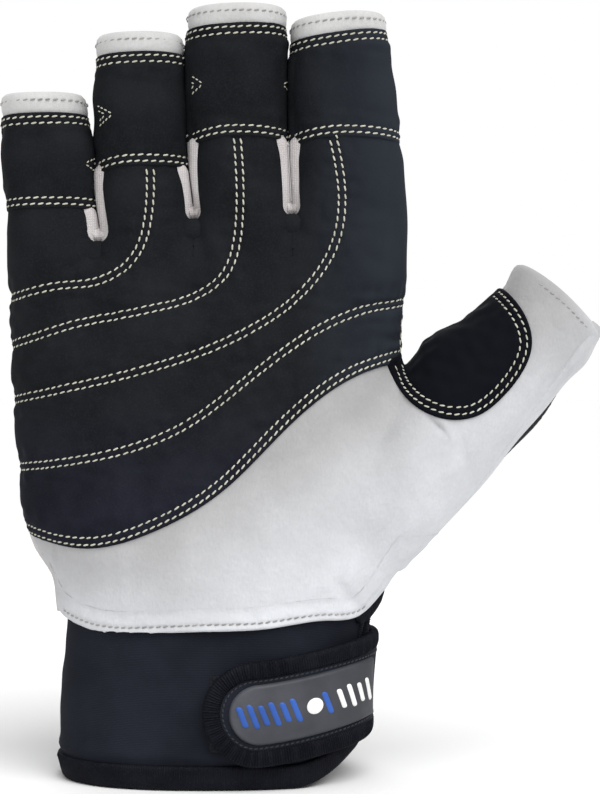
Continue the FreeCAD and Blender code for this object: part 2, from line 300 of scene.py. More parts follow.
def creases(x, z, lines):
    """The height of folds, or of raised rolls, along the short lines of a list like FOLDS."""
    total = 0.0
    for ax, az, bx, bz, width, height in lines:
        run_x, run_z = bx - ax, bz - az
        t = np.clip(((x - ax) * run_x + (z - az) * run_z) / (run_x ** 2 + run_z ** 2), 0, 1)
        away = np.hypot(x - ax - t * run_x, z - az - t * run_z)
        total = total + height * bell(away, width) * (0.35 + 0.65 * np.sin(math.pi * t))
    return total


BACK_SEAM_LEAN = 0.0016


def back_seam(web, z):
    """Where one of the back's three seams, which run down from the webs, lies at a height."""
    return web.line(np.clip(z, SPLIT, 140)) * (1 - BACK_SEAM_LEAN * (SPLIT - z))


def relief(x, y, z):
    """Soft fullness and hollows of the filled hand, measured outwards from the plain sections."""
    front = 1 - ease(y, -9, -2)
    thenar = 1.6 * bell(x - 36, 16) * bell(z - 74, 17)
    heel = 1.2 * bell(x + 30, 14) * bell(z - 72, 18)
    hollow = -2.2 * bell(x - 2, 17) * bell(z - 84, 26)
    knuckles = 0.9 * bell(z - 122, 9) * np.cos((x + 43) * 2 * math.pi / 25.0)
    folds = creases(x, z, FOLDS)
    along, across = thumb_axes(x, z)
    seams = 0.0
    for web in WEBS:
        seams = seams + bell(x - back_seam(web, z), 0.8)
    seams = 0.75 * seams * ease(y, 4, 8) * ease(z, 88, 96) * (1 - ease(z, 122, 131))
    back_roll = seams + 2.1 * bell(along - 123, 14) * ease(across, 5, 10) * ease(y, 0.5, 3.5)
    return front * (thenar + heel + hollow + knuckles + folds) + back_roll


def outside(x, y, z):
    """Signed distance to the glove's outside, close to it; negative inside."""
    upper = ease(z, 110, 131)
    hand = HAND.distance(x, y, z) * (1 - upper) + lobes(x, y, z) * upper
    along, across = thumb_axes(x, z)
    thumb = THUMB.distance(across, y, along)
    thumb = np.maximum(thumb, THUMB_ROOT - along)
    thumb += 40 * ease(z, 112, 124) * (1 - ease(x - 46.0 - 0.45 * (z - 107), 0, 6))
    return smooth_min(hand, thumb, 6.5) - relief(x, y, z) * (1 - ease(z, 118, 132))


def level_normals(field, points):
    """Outward directions of a field at points, kept level."""
    slope = gradient(field, points)[1]
    slope[:, 2] = 0
    return unit(slope)


def gradient(field, points, step=0.05):
    """The field's value and slope at points."""
    x, y, z = points.T
    base = field(x, y, z)
    slopes = [(field(x + step, y, z) - base) / step,
              (field(x, y + step, z) - base) / step,
              (field(x, y, z + step) - base) / step]
    return base, np.stack(slopes, axis=1)


# ---------------------------------------------------------------- meshes as arrays

class Skin:
    """A triangle mesh on a smooth surface: points, outward normals and triangles."""

    def __init__(self, points, normals, triangles):
        self.points, self.normals, self.triangles = points, normals, triangles

    def edges(self):
        pairs = np.concatenate([self.triangles[:, [0, 1]], self.triangles[:, [1, 2]],
                                self.triangles[:, [2, 0]]])
        return np.unique(np.sort(pairs, axis=1), axis=0)

    def only(self, keep):
        """The triangles marked by keep, with unused points dropped."""
        triangles = self.triangles[keep]
        used = np.unique(triangles)
        index = np.full(len(self.points), -1)
        index[used] = np.arange(len(used))
        return Skin(self.points[used], self.normals[used], index[triangles])

    def clipped(self, scalar):
        """The part where scalar is positive, with a clean edge along its zero line."""
        s = scalar.copy()
        s[np.abs(s) < 0.04] = 0.0
        sign = s[self.triangles]
        whole = (sign >= 0).all(axis=1) & (sign > 0).any(axis=1)
        mixed = (sign > 0).any(axis=1) & (sign < 0).any(axis=1)
        points, normals = list(self.points), list(self.normals)
        made, triangles = {}, []
        for tri in self.triangles[mixed]:
            corners = []
            for a, b in ((tri[0], tri[1]), (tri[1], tri[2]), (tri[2], tri[0])):
                if s[a] >= 0:
                    corners.append(a)
                if s[a] * s[b] < 0:
                    key = (min(a, b), max(a, b))
                    if key not in made:
                        t = s[a] / (s[a] - s[b])
                        made[key] = len(points)
                        points.append(self.points[a] * (1 - t) + self.points[b] * t)
                        normals.append(self.normals[a] * (1 - t) + self.normals[b] * t)
                    corners.append(made[key])
            for i in range(1, len(corners) - 1):
                triangles.append((corners[0], corners[i], corners[i + 1]))
        triangles = np.concatenate([self.triangles[whole], np.array(triangles, int).reshape(-1, 3)])
        return Skin(np.array(points), unit(np.array(normals)), triangles).only(slice(None))

    def refined(self, field):
        """Each triangle cut in four, with every point settled on the field."""
        tri = self.triangles
        pairs = np.sort(np.concatenate([tri[:, [0, 1]], tri[:, [1, 2]], tri[:, [2, 0]]]), axis=1)
        unique, inverse = np.unique(pairs, axis=0, return_inverse=True)
        inverse = inverse.reshape(-1)
        middle = self.points[unique].mean(axis=1)
        normal = unit(self.normals[unique].mean(axis=1))
        n, m = len(self.points), len(tri)
        ab, bc, ca = (n + inverse[i * m:(i + 1) * m] for i in range(3))
        a, b, c = tri.T
        triangles = np.concatenate([np.stack(v, axis=1) for v in
                                    ((a, ab, ca), (ab, b, bc), (ca, bc, c), (ab, bc, ca))])
        skin = Skin(np.concatenate([self.points, middle]), np.concatenate([self.normals, normal]),
                    triangles)
        return skin.settled(field, 2)

    def settled(self, field, rounds):
        """Every point moved onto the field's zero level, with the field's own normals."""
        points = self.points
        for _ in range(rounds):
            value, slope = gradient(field, points)
            points = points - slope * (value / (slope ** 2).sum(axis=1))[:, None]
        return Skin(points, unit(gradient(field, points)[1]), self.triangles)

    def relaxed(self, field, rounds):
        """Points evened out along the surface."""
        skin = self
        edges = self.edges()
        count = np.bincount(edges.ravel(), minlength=len(self.points))[:, None]
        for _ in range(rounds):
            total = np.zeros_like(skin.points)
            np.add.at(total, edges[:, 0], skin.points[edges[:, 1]])
            np.add.at(total, edges[:, 1], skin.points[edges[:, 0]])
            skin = Skin(0.5 * skin.points + 0.5 * total / count, skin.normals, self.triangles)
            skin = skin.settled(field, 1)
        return skin


def surface_net(field, low, high, step):
    """A mesh of the field's zero level, one point per crossed cell of a regular grid."""
    axes = [np.arange(a, b + step, step) for a, b in zip(low, high)]
    grid = np.stack(np.meshgrid(*axes, indexing="ij"), axis=-1)
    value = field(grid[..., 0], grid[..., 1], grid[..., 2])
    shape = tuple(n - 1 for n in value.shape)
    total, count = np.zeros(shape + (3,)), np.zeros(shape)
    crossings = []
    for axis in range(3):
        lower, upper = [slice(None)] * 3, [slice(None)] * 3
        lower[axis], upper[axis] = slice(0, -1), slice(1, None)
        a, b = value[tuple(lower)], value[tuple(upper)]
        crossed = (a < 0) != (b < 0)
        t = np.where(crossed, a / np.where(crossed, a - b, 1), 0)
        point = grid[tuple(lower)].copy()
        point[..., axis] += t * step
        crossings.append((crossed, a < 0))
        others = [i for i in range(3) if i != axis]
        for i in range(2):
            for j in range(2):
                part = [slice(None)] * 3
                part[others[0]] = slice(i, i + shape[others[0]])
                part[others[1]] = slice(j, j + shape[others[1]])
                hit = crossed[tuple(part)]
                total += point[tuple(part)] * hit[..., None]
                count += hit
    used = count > 0
    index = np.full(shape, -1)
    index[used] = np.arange(used.sum())
    points = total[used] / count[used][:, None]
    triangles = []
    for axis in range(3):
        crossed, outward = crossings[axis]
        second, third = (axis + 1) % 3, (axis + 2) % 3
        at = np.argwhere(crossed)
        inner = (at[:, second] > 0) & (at[:, third] > 0)
        inner &= (at[:, second] < shape[second]) & (at[:, third] < shape[third])
        at = at[inner]
        flip = ~outward[tuple(at.T)]
        corners = []
        for i, j in ((-1, -1), (0, -1), (0, 0), (-1, 0)):
            cell = at.copy()
            cell[:, second] += i
            cell[:, third] += j
            corners.append(index[tuple(cell.T)])
        quad = np.stack(corners, axis=1)
        quad[flip] = quad[flip][:, ::-1]
        triangles += [quad[:, [0, 1, 2]], quad[:, [0, 2, 3]]]
    triangles = np.concatenate(triangles)
    return Skin(points, np.zeros_like(points), triangles).settled(field, 4)


def tube_skin(rows, closed=True):
    """A mesh from rows of points (row, column, 3), with normals worked out from its faces."""
    points = np.asarray(rows)
    n, m = points.shape[:2]
    i, j = np.meshgrid(np.arange(n - 1), np.arange(m if closed else m - 1), indexing="ij")
    a, b = i * m + j, i * m + (j + 1) % m
    c, d = (i + 1) * m + (j + 1) % m, (i + 1) * m + j
    triangles = np.concatenate([np.stack([a, b, c], -1).reshape(-1, 3),
                                np.stack([a, c, d], -1).reshape(-1, 3)])
    flat = points.reshape(-1, 3)
    face = np.cross(flat[triangles[:, 1]] - flat[triangles[:, 0]],
                    flat[triangles[:, 2]] - flat[triangles[:, 0]])
    normals = np.zeros_like(flat)
    for k in range(3):
        np.add.at(normals, triangles[:, k], face)
    normals /= np.linalg.norm(normals, axis=1)[:, None] + 1e-12
    return Skin(flat, normals, triangles)


def finger_field(index):
    """One finger stall, walled off from its neighbours along the lines between them."""
    left = WEBS[index - 1] if index > 0 else None
    right = WEBS[index] if index < 3 else None

    def inside(x, y, z):
        value = lobes(x, y, z)
        if left:
            value = np.maximum(value, left.line(z) + 0.03 - x)
        if right:
            value = np.maximum(value, x - right.line(z) + 0.03)
        return value

    return inside


def finger_skin(index):
    """One finger stall from the split line to past its tip."""
    finger, inside = FINGERS[index], finger_field(index)
    z, angle = np.meshgrid(np.arange(SPLIT, finger.tip + 3, 0.8), closed_turn(112), indexing="ij")
    x0, y0 = finger.middle(z), finger.lean(z)
    low, high = np.full_like(z, 2.0), np.full_like(z, 26.0)
    for _ in range(34):
        mid = (low + high) / 2
        out = inside(x0 + mid * np.cos(angle), y0 + mid * np.sin(angle), z) > 0
        high = np.where(out, mid, high)
        low = np.where(out, low, mid)
    rows = np.stack([x0 + low * np.cos(angle), y0 + low * np.sin(angle), z], axis=-1)
    skin = tube_skin(rows)
    return Skin(skin.points, unit(gradient(inside, skin.points)[1]), skin.triangles)


# ---------------------------------------------------------------- pieces

def add_object(name, data):
    """A new object in the scene."""
    made = bpy.data.objects.new(name, data)
    bpy.context.scene.collection.objects.link(made)
    return made


def make_object(name, points, faces, material, body, smooth_angle=48):
    """A mesh object in metres, riding on a body when body is a name, with its rest place kept for its
    material.
    """
    mesh = bpy.data.meshes.new(name)
    mesh.from_pydata((np.asarray(points) * MM).tolist(), [], [list(map(int, f)) for f in faces])
    mesh.validate()
    for polygon in mesh.polygons:
        polygon.use_smooth = True
    if smooth_angle:
        mesh.set_sharp_from_angle(angle=math.radians(smooth_angle))
    rest = mesh.attributes.new("rest", "FLOAT_VECTOR", "POINT")
    rest.data.foreach_set("vector", np.asarray(points, np.float32).ravel())
    piece = add_object(name, mesh)
    mesh.materials.append(material)
    if isinstance(body, str):
        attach(piece, body)
    else:
        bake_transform(piece)
    return piece


def thicken(skin, top, bottom):
    """Points and faces of a closed panel between two offsets of a skin."""
    n = len(skin.points)
    top = np.broadcast_to(top, n)[:, None]
    bottom = np.broadcast_to(bottom, n)[:, None]
    points = np.concatenate([skin.points + skin.normals * top, skin.points + skin.normals * bottom])
    tri = skin.triangles
    directed = np.concatenate([tri[:, [0, 1]], tri[:, [1, 2]], tri[:, [2, 0]]])
    known = {(a, b) for a, b in directed.tolist()}
    rim = [(a, b) for a, b in directed.tolist() if (b, a) not in known]
    faces = tri.tolist() + (tri[:, ::-1] + n).tolist()
    faces += [(b, a, a + n, b + n) for a, b in rim]
    return points, faces


def edge_profile(distance, thickness, radius, rim=0.25):
    """Thickness that rounds off towards a panel's edge."""
    t = np.clip(1 - np.clip(distance, 0, None) / radius, 0, 1)
    return rim + (thickness - rim) * np.sqrt(np.clip(1 - t * t, 0, 1))


# ---------------------------------------------------------------- materials

class Paint:
    """Builds one material. Its textures are laid out in millimetres on the glove at rest."""

    def __init__(self, name, roughness, sheen=0.0, specular=0.5):
        self.material = bpy.data.materials.new(name)
        self.material.use_nodes = True
        self.tree = self.material.node_tree
        self.shader = self.tree.nodes["Principled BSDF"]
        self.shader.inputs["Roughness"].default_value = roughness
        self.shader.inputs["Sheen Weight"].default_value = sheen
        self.shader.inputs["Sheen Roughness"].default_value = 0.45
        self.shader.inputs["Specular IOR Level"].default_value = specular
        rest = self.tree.nodes.new("ShaderNodeAttribute")
        rest.attribute_name = "rest"
        self.place = rest.outputs["Vector"]
        self.bumps = None

    def link(self, value, socket):
        if isinstance(value, bpy.types.NodeSocket):
            self.tree.links.new(value, socket)
        elif socket.type == "RGBA":
            socket.default_value = (*value, 1)
        else:
            socket.default_value = value

    def node(self, kind, output, values, **settings):
        """Adds a node, fills its inputs and returns one of its outputs."""
        node = self.tree.nodes.new("ShaderNode" + kind)
        for key, value in settings.items():
            setattr(node, key, value)
        for socket, value in values.items():
            self.link(value, node.inputs[socket])
        return node.outputs[output]

    def stretched(self, x, y, z):
        return self.node("Mapping", "Vector", {"Scale": (x, y, z), "Vector": self.place})

    def noise(self, size, detail=2.0, place=None):
        return self.node("TexNoise", "Fac", {"Scale": 1.0 / size, "Detail": detail,
                                             "Vector": place or self.place})

    def patches(self, size, detail, low, high, to_low=0.0, to_high=1.0):
        """Noise with its middle values spread over the whole range."""
        return self.spread(self.noise(size, detail), low, high, to_low, to_high)

    def ribs(self, pitch, direction="Z", wobble=0.0):
        values = {"Scale": 2 * math.pi / 20 / pitch, "Distortion": wobble, "Vector": self.place}
        return self.node("TexWave", "Fac", values, bands_direction=direction)

    def spread(self, value, low, high, to_low=0.0, to_high=1.0):
        return self.node("MapRange", "Result", {"Value": value, "From Min": low, "From Max": high,
                                                "To Min": to_low, "To Max": to_high})

    def combine(self, operation, first, second):
        return self.node("Math", "Value", {0: first, 1: second}, operation=operation)

    def mix(self, factor, first, second):
        return self.node("Mix", 2, {0: factor, 6: first, 7: second}, data_type="RGBA")

    def tint(self, colour, factors):
        return self.node("VectorMath", "Vector", {0: colour, 1: factors}, operation="MULTIPLY")

    def part(self, axis):
        """The place along X (0), Y (1) or Z (2)."""
        return self.node("SeparateXYZ", axis, {"Vector": self.place})

    def colour(self, value):
        self.link(value, self.shader.inputs["Base Color"])

    def bump(self, height, depth):
        """Adds relief of this depth in millimetres."""
        values = {"Strength": 1.0, "Distance": depth * MM, "Height": height}
        if self.bumps:
            values["Normal"] = self.bumps
        self.bumps = self.node("Bump", "Normal", values)
        self.link(self.bumps, self.shader.inputs["Normal"])


def darker(colour, share):
    """A share of a colour, for its shaded threads and fibres."""
    return tuple(v * share for v in colour)


def suede(name, dark, light, nap=0.09, wear_and_painted_light=False):
    paint = Paint(name, 0.92, sheen=0.25, specular=0.25)
    cloud = paint.patches(17.0, 3.0, 0.34, 0.66)
    hair = paint.noise(0.55, 3.0, paint.stretched(1.0, 1.0, 0.45))
    brushed = paint.patches(3.2, 4.0, 0.35, 0.65)
    base = paint.mix(cloud, dark, light)
    base = paint.mix(paint.spread(brushed, 0, 1, 0.0, 0.35), base, darker(dark, 0.93))
    base = paint.mix(paint.spread(hair, 0.35, 0.7, 0.0, 0.30), base, darker(dark, 0.86))
    # Painted shade and light: the suede is coloured darker and warmer high on the palm and thumb beside
    # the overlay's edge, and lighter and cooler lower down and out towards the thumb side.
    if wear_and_painted_light:
        below = paint.combine("SUBTRACT", paint.combine("MULTIPLY", paint.part(0), 0.6), paint.part(2))
        below = paint.combine("MAXIMUM", below, paint.combine("SUBTRACT", -6.0, paint.part(2)))
        below = paint.combine("ADD", below, paint.spread(cloud, 0.0, 1.0, -2.0, 2.0))
        shade = paint.spread(below, -74.0, -36.0)
        painted_shade_tone, painted_light_tone = paint.tint(base, (0.73, 0.715, 0.695)), paint.tint(base, (1.28, 1.29, 1.31))
        base = paint.mix(shade, painted_shade_tone, painted_light_tone)
    paint.colour(base)
    paint.bump(hair, nap)
    paint.bump(paint.noise(1.7, 3.0), 0.17)
    return paint.material


def microfibre(name, depth=1.0):
    paint = Paint(name, 0.82, sheen=0.005, specular=0.06)
    paint.shader.inputs["Sheen Tint"].default_value = (0.75, 0.8, 1.0, 1)
    lower = paint.spread(paint.part(2), 100.0, 70.0)
    cloud = paint.patches(13.0, 3.0, 0.35, 0.68)
    black = paint.mix(cloud, (0.0062, 0.0070, 0.0086), (0.0108, 0.0120, 0.0142))
    blue = paint.mix(cloud, (0.0078, 0.0084, 0.0140), (0.0135, 0.0145, 0.0235))
    base = paint.mix(lower, black, blue)
    # Painted sheen: from X 20 to 44 mm the cloth's colour is lifted towards a lighter blue, standing in
    # for the light the microfibre catches on the thumb side.
    sheen = paint.spread(paint.part(0), 20.0, 44.0, 0.0, 0.48)
    base = paint.mix(sheen, base, (0.030, 0.038, 0.052))
    # A depth below 1 pulls the colour towards near-black blue.
    base = paint.mix(depth, (0.0016, 0.0021, 0.0038), base)
    grain = paint.noise(0.42, 3.0)
    base = paint.mix(paint.spread(grain, 0.45, 0.75, 0.0, 0.35 * depth), base, (0.024, 0.025, 0.028))
    paint.colour(base)
    paint.bump(grain, 0.045)
    paint.bump(paint.noise(1.8, 2.0), 0.05)
    return paint.material


def stretch_knit(name, dark, light, pitch=0.62, roughness=0.72):
    paint = Paint(name, roughness, sheen=0.03, specular=0.25)
    wales = paint.ribs(pitch, "X", 0.25)
    courses = paint.ribs(pitch * 0.8, "Z", 0.25)
    loops = paint.combine("MULTIPLY", wales, courses)
    cloud = paint.patches(11.0, 2.0, 0.35, 0.65)
    base = paint.mix(cloud, dark, light)
    paint.colour(paint.mix(paint.spread(loops, 0.0, 0.8, 0.4, 0.0), base, darker(dark, 0.45)))
    paint.bump(loops, 0.09)
    return paint.material


def neoprene(name):
    paint = Paint(name, 0.82, sheen=0.005, specular=0.06)
    cloud = paint.patches(15.0, 3.0, 0.35, 0.65)
    jersey = paint.combine("MULTIPLY", paint.ribs(0.42, "Z", 0.4), paint.noise(0.3, 2.0))
    base = paint.mix(cloud, (0.0088, 0.0102, 0.0155), (0.0140, 0.0160, 0.0240))
    paint.colour(paint.mix(paint.spread(jersey, 0.1, 0.6, 0.0, 0.35), base, (0.024, 0.026, 0.035)))
    paint.bump(jersey, 0.05)
    paint.bump(paint.noise(4.5, 2.0), 0.10)
    return paint.material


def tape(name):
    paint = Paint(name, 0.64, sheen=0.0, specular=0.08)
    threads = paint.noise(0.30, 2.0)
    wear_and_painted_light = paint.patches(7.0, 3.0, 0.4, 0.7)
    base = paint.mix(wear_and_painted_light, (0.0034, 0.0038, 0.0068), (0.0070, 0.0076, 0.0120))
    paint.colour(paint.mix(paint.spread(threads, 0.5, 0.75, 0.0, 0.5), base, (0.022, 0.023, 0.031)))
    paint.bump(threads, 0.05)
    return paint.material


def loop_pile(name):
    paint = Paint(name, 0.95, sheen=0.25, specular=0.15)
    fuzz = paint.noise(0.50, 4.0)
    paint.colour(paint.mix(paint.spread(fuzz, 0.35, 0.7), (0.004, 0.0045, 0.006), (0.0145, 0.015, 0.020)))
    paint.bump(fuzz, 0.35)
    return paint.material


def hooks(name):
    paint = Paint(name, 0.45, specular=0.5)
    grid = paint.combine("MULTIPLY", paint.ribs(1.1, "X", 0.1), paint.ribs(1.1, "Z", 0.1))
    paint.colour(paint.mix(grid, (0.008, 0.008, 0.010), (0.030, 0.030, 0.036)))
    paint.bump(grid, 0.5)
    return paint.material


def rubber(name, dark, light, roughness, fade=0.0):
    paint = Paint(name, roughness, specular=0.3)
    cloud = paint.patches(9.0, 3.0, 0.35, 0.65)
    grain = paint.noise(0.28, 2.0)
    base = paint.mix(cloud, dark, light)
    # Painted shade: the colour darkens towards +X, by the share given as fade.
    base = paint.mix(paint.spread(paint.part(0), 4.0, 40.0, 0.0, fade), base, darker(dark, 0.35))
    paint.colour(paint.mix(paint.spread(grain, 0.4, 0.7, 0.0, 0.25), base, darker(dark, 0.8)))
    wear_and_painted_light = paint.patches(5.0, 3.0, 0.3, 0.7, roughness - 0.07, roughness + 0.09)
    paint.link(wear_and_painted_light, paint.shader.inputs["Roughness"])
    paint.bump(grain, 0.03)
    return paint.material


def thread(name, dark, light):
    paint = Paint(name, 0.62, sheen=0.15, specular=0.35)
    strands = paint.noise(0.16, 2.0)
    wear_and_painted_light = paint.patches(6.0, 3.0, 0.35, 0.65)
    base = paint.mix(wear_and_painted_light, dark, light)
    paint.colour(paint.mix(paint.spread(strands, 0.3, 0.75, 0.3, 0.0), base, darker(dark, 0.55)))
    paint.bump(strands, 0.05)
    return paint.material


# The palm's suede carries painted shade and light in its colour, laid out by place.
SUEDE = suede("suede", (0.480, 0.485, 0.500), (0.522, 0.528, 0.545), wear_and_painted_light=True)
HEM_SUEDE = suede("suede_hem", (0.505, 0.503, 0.500), (0.590, 0.588, 0.584), 0.08)
SIDE_SUEDE = suede("suede_side", (0.500, 0.480, 0.476), (0.580, 0.562, 0.558), 0.05)
QUILT = microfibre("microfibre")
# The crotch patch is coloured far darker than the overlay: partly its own deeper blue-black, partly
# painted shade of the thumb crotch.
PATCH_CLOTH = microfibre("microfibre_patch", 0.1)
BACK = stretch_knit("stretch_back", (0.0080, 0.0085, 0.0098), (0.0130, 0.0136, 0.0155))
KNIT = stretch_knit("fourchette", (0.640, 0.600, 0.595), (0.740, 0.710, 0.705), 0.55, 0.85)
NEOPRENE = neoprene("neoprene")
TAPE = tape("binding_tape")
LOOP = loop_pile("loop_pile")
HOOK = hooks("hook_plastic")
# The badge has painted shade towards its +X end.
BADGE = rubber("badge_rubber", (0.050, 0.053, 0.064), (0.078, 0.082, 0.096), 0.55, fade=0.7)
BLUE = rubber("emblem_blue", (0.022, 0.080, 0.340), (0.032, 0.110, 0.440), 0.50)
WHITE = rubber("emblem_white", (0.780, 0.780, 0.770), (0.860, 0.860, 0.850), 0.45)
CREAM = thread("thread_cream", (0.480, 0.470, 0.385), (0.620, 0.610, 0.515))
GREY_THREAD = thread("thread_grey", (0.270, 0.262, 0.250), (0.400, 0.390, 0.375))
BLACK_THREAD = thread("thread_black", (0.020, 0.020, 0.024), (0.035, 0.035, 0.042))


# ---------------------------------------------------------------- lines on the glove

def resampled(points, spacing):
    """Points along a line, evenly spaced."""
    points = np.asarray(points, float)
    length = lengths_along(points)
    at = np.linspace(0, length[-1], max(2, int(round(length[-1] / spacing)) + 1))
    return np.stack([np.interp(at, length, points[:, k]) for k in range(points.shape[1])], axis=1)


def smooth_line(points, spacing=0.5):
    """A smooth line through a few points."""
    points = np.asarray(points, float)
    length = lengths_along(points)
    at = np.linspace(0, length[-1], 300)
    line = [curve_through(list(zip(length, points[:, k])))(at) for k in range(points.shape[1])]
    return resampled(np.stack(line, axis=1), spacing)


def beside(line, distance):
    """A flat line moved sideways."""
    step = unit(np.gradient(line, axis=0))
    return line + distance * np.stack([-step[:, 1], step[:, 0]], axis=1)


def first_crossing(field, start, direction, reach):
    """Where rays from inside the glove leave it."""
    low, high = np.zeros(len(start)), np.full(len(start), float(reach))
    for _ in range(24):
        mid = (low + high) / 2
        x, y, z = (start + direction * mid[:, None]).T
        out = field(x, y, z) > 0
        high = np.where(out, mid, high)
        low = np.where(out, low, mid)
    return start + direction * low[:, None]


def moved_out(line, field, side, start_y, reach):
    """Points of a flat (x, z) line moved along Y onto a field's surface."""
    start = np.stack([line[:, 0], np.full(len(line), start_y), line[:, 1]], axis=1)
    return first_crossing(field, start, np.tile((0.0, side, 0.0), (len(line), 1)), reach)


def on_palm(line, field=outside):
    return moved_out(line, field, -1.0, -1.0, 36)


def on_back(line):
    return moved_out(line, outside, 1.0, 2.0, 34)


def around(field, centre, angles, heights):
    """Points round a tube: angle 0 is towards the thumb, -90 degrees the palm side."""
    direction = np.stack([np.cos(angles), np.sin(angles), np.zeros_like(angles)], axis=1)
    start = np.stack([np.broadcast_to(centre[0], angles.shape),
                      np.broadcast_to(centre[1], angles.shape),
                      np.broadcast_to(heights, angles.shape)], axis=1)
    return first_crossing(field, start, direction, 60)


def side_turn(start, slope, side):
    """Carries a line on at its own slope from the palm round one side of the hand."""
    angles = np.radians(np.linspace(-192, -104, 90) if side < 0 else np.linspace(-90, 12, 90))
    centre = (-24.0 if side < 0 else 22.0, 0.0)
    line = around(outside, centre, angles, start[2])
    past = side * np.clip(side * (line[:, 0] - start[0]), 0, None)
    line = around(outside, centre, angles, start[2] + slope * past)
    return line[(side * (line[:, 0] - start[0]) > 0.4) & (line[:, 1] < 3.0)]


def rows_of(line, offsets, left=False, right=False):
    """Stitch rows beside a flat line, carried round the sides of the hand where asked."""
    rows = []
    for offset in offsets:
        flat = beside(line, offset)
        if left:
            flat = flat[flat[:, 0] > -45.0]
        if right:
            flat = flat[flat[:, 0] < 41.0]
        path = on_palm(flat)
        slopes = np.diff(path[:, 2]) / np.diff(path[:, 0])
        if left:
            path = np.concatenate([side_turn(path[0], slopes[:4].mean(), -1), path])
        if right:
            path = np.concatenate([path, side_turn(path[-1], slopes[-4:].mean(), 1)])
        rows.append(resampled(path, 0.4))
    return rows


OVERLAY_EDGE = curve_through([(-60, 66), (-46.3, 62), (-31.7, 59.8), (-14, 64.6), (3.6, 75.4),
                              (18.8, 90.5), (33.9, 102), (47, 106.5), (60, 108)])
PATCH_EDGE = smooth_line([(43.1, 107), (45.4, 101.9), (49.2, 96.3), (54.3, 93), (60, 91.8), (66, 92.9),
                          (72.1, 97.3), (77.5, 103.9), (80, 110.6), (77.9, 119.5), (73.4, 126.3)])
HEM_EDGE = curve_through([(-44, 47.5), (-41, 43.6), (-37.3, 41.2), (-30.8, 39.2), (-18.8, 38.7),
                          (-3.7, 39.5), (13.8, 40.2), (28.8, 41.7), (36.8, 42.6), (41.3, 46.8), (46, 53)])
QUILT_LINES = [
    smooth_line([(-54, 122.4), (-39.5, 125.7), (-28.5, 127.4), (-20.8, 133), (-17.3, 143), (-16.9, 157)]),
    smooth_line([(-54, 110.5), (-29.3, 117.1), (-9.3, 121.4), (2.2, 128.4), (5.7, 140), (5.3, 164.5)]),
    smooth_line([(-54, 96.5), (-19, 103.9), (3, 111.5), (20, 122.3), (29.6, 135), (32, 148.5),
                 (29.6, 164.5)]),
    smooth_line([(-54, 79.4), (-27, 83), (-8.5, 89.8), (8.7, 102.4), (25, 114), (38, 120), (48, 121.9)]),
]
EDGE_LINE = smooth_line([(x, float(OVERLAY_EDGE(x))) for x in np.linspace(-52, 47.5, 40)])


def above_edge(x, z):
    """Distance above the overlay's lower edge."""
    slope = OVERLAY_EDGE(x + 0.5) - OVERLAY_EDGE(x - 0.5)
    return (z - OVERLAY_EDGE(x)) / np.sqrt(1 + slope ** 2)


def thumb_side(x, z):
    """Positive on the thumb's side of the crotch, negative on the index finger's side."""
    return x - (48.2 + 0.45 * (z - 107))


THUMB_TURN = np.array([0.82, 0, 0.572])
THUMB_BEND = 100.6
THUMB_BLEND = ("hand", "thumb", tuple(THUMB_TURN * THUMB_BEND), tuple(THUMB_TURN * 123.0))


def past_crotch(x, z):
    """Distance beyond the line where the thumb starts to bend."""
    return x * THUMB_TURN[0] + z * THUMB_TURN[2] - THUMB_BEND


def finger_blend(index):
    """A finger's cloth key: the hand, the finger, and the span from the split line to as far above the
    hinge.
    """
    finger = FINGERS[index]
    return ("hand", "finger_" + finger.name, (0, 0, SPLIT), (0, 0, 2 * finger.root - SPLIT))


class Near:
    """Distance to the nearest point of some lines."""

    def __init__(self, lines):
        points = np.concatenate(lines)
        self.tree = KDTree(len(points))
        for i, point in enumerate(points):
            self.tree.insert(point, i)
        self.tree.balance()

    def __call__(self, points):
        return np.array([self.tree.find(point)[2] for point in points])


class Outline:
    """A closed flat outline; call it for the distance inside it."""

    def __init__(self, points):
        self.points = np.asarray(points, float)

    def __call__(self, x, z):
        distance = np.full(len(x), 1e9)
        inside = np.zeros(len(x), bool)
        for (ax, az), (bx, bz) in zip(self.points, np.roll(self.points, -1, axis=0)):
            ex, ez = bx - ax, bz - az
            t = np.clip(((x - ax) * ex + (z - az) * ez) / (ex * ex + ez * ez + 1e-12), 0, 1)
            distance = np.minimum(distance, np.hypot(x - ax - t * ex, z - az - t * ez))
            crosses = ((az > z) != (bz > z)) & (x < ex * (z - az) / (ez + 1e-12) + ax)
            inside ^= crosses
        return np.where(inside, distance, -distance)


PATCH = Outline(np.concatenate([PATCH_EDGE[::2], [(72, 140), (62, 140), (47.4, 109.5)]]))


# ---------------------------------------------------------------- panels

def raised_normals(skin, thickness):
    """Normals of the surface standing this thickness above a skin."""
    n = skin.normals
    side = unit(np.cross(n, (0.31, 0.95, 0.05)))
    up = np.cross(side, n)
    step = 0.2
    base = thickness(skin.points)
    normals = n.copy()
    for direction in (side, up):
        slope = (thickness(skin.points + direction * step) - base) / step
        normals -= direction * slope[:, None]
    return base, unit(normals)


def panel(name, skin, thickness, bottom, material, body, nodes=()):
    """A closed panel on a skin. Thickness is a number, or a function of where it is."""
    if callable(thickness):
        top, normals = raised_normals(skin, thickness)
    else:
        top, normals = thickness, skin.normals
    points, faces = thicken(skin, top, bottom)
    piece = make_object(name, points, faces, material, body, smooth_angle=None)
    piece.data.normals_split_custom_set_from_vertices(np.concatenate([normals, -skin.normals]).tolist())
    if nodes:
        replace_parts(piece, *nodes)
    return piece


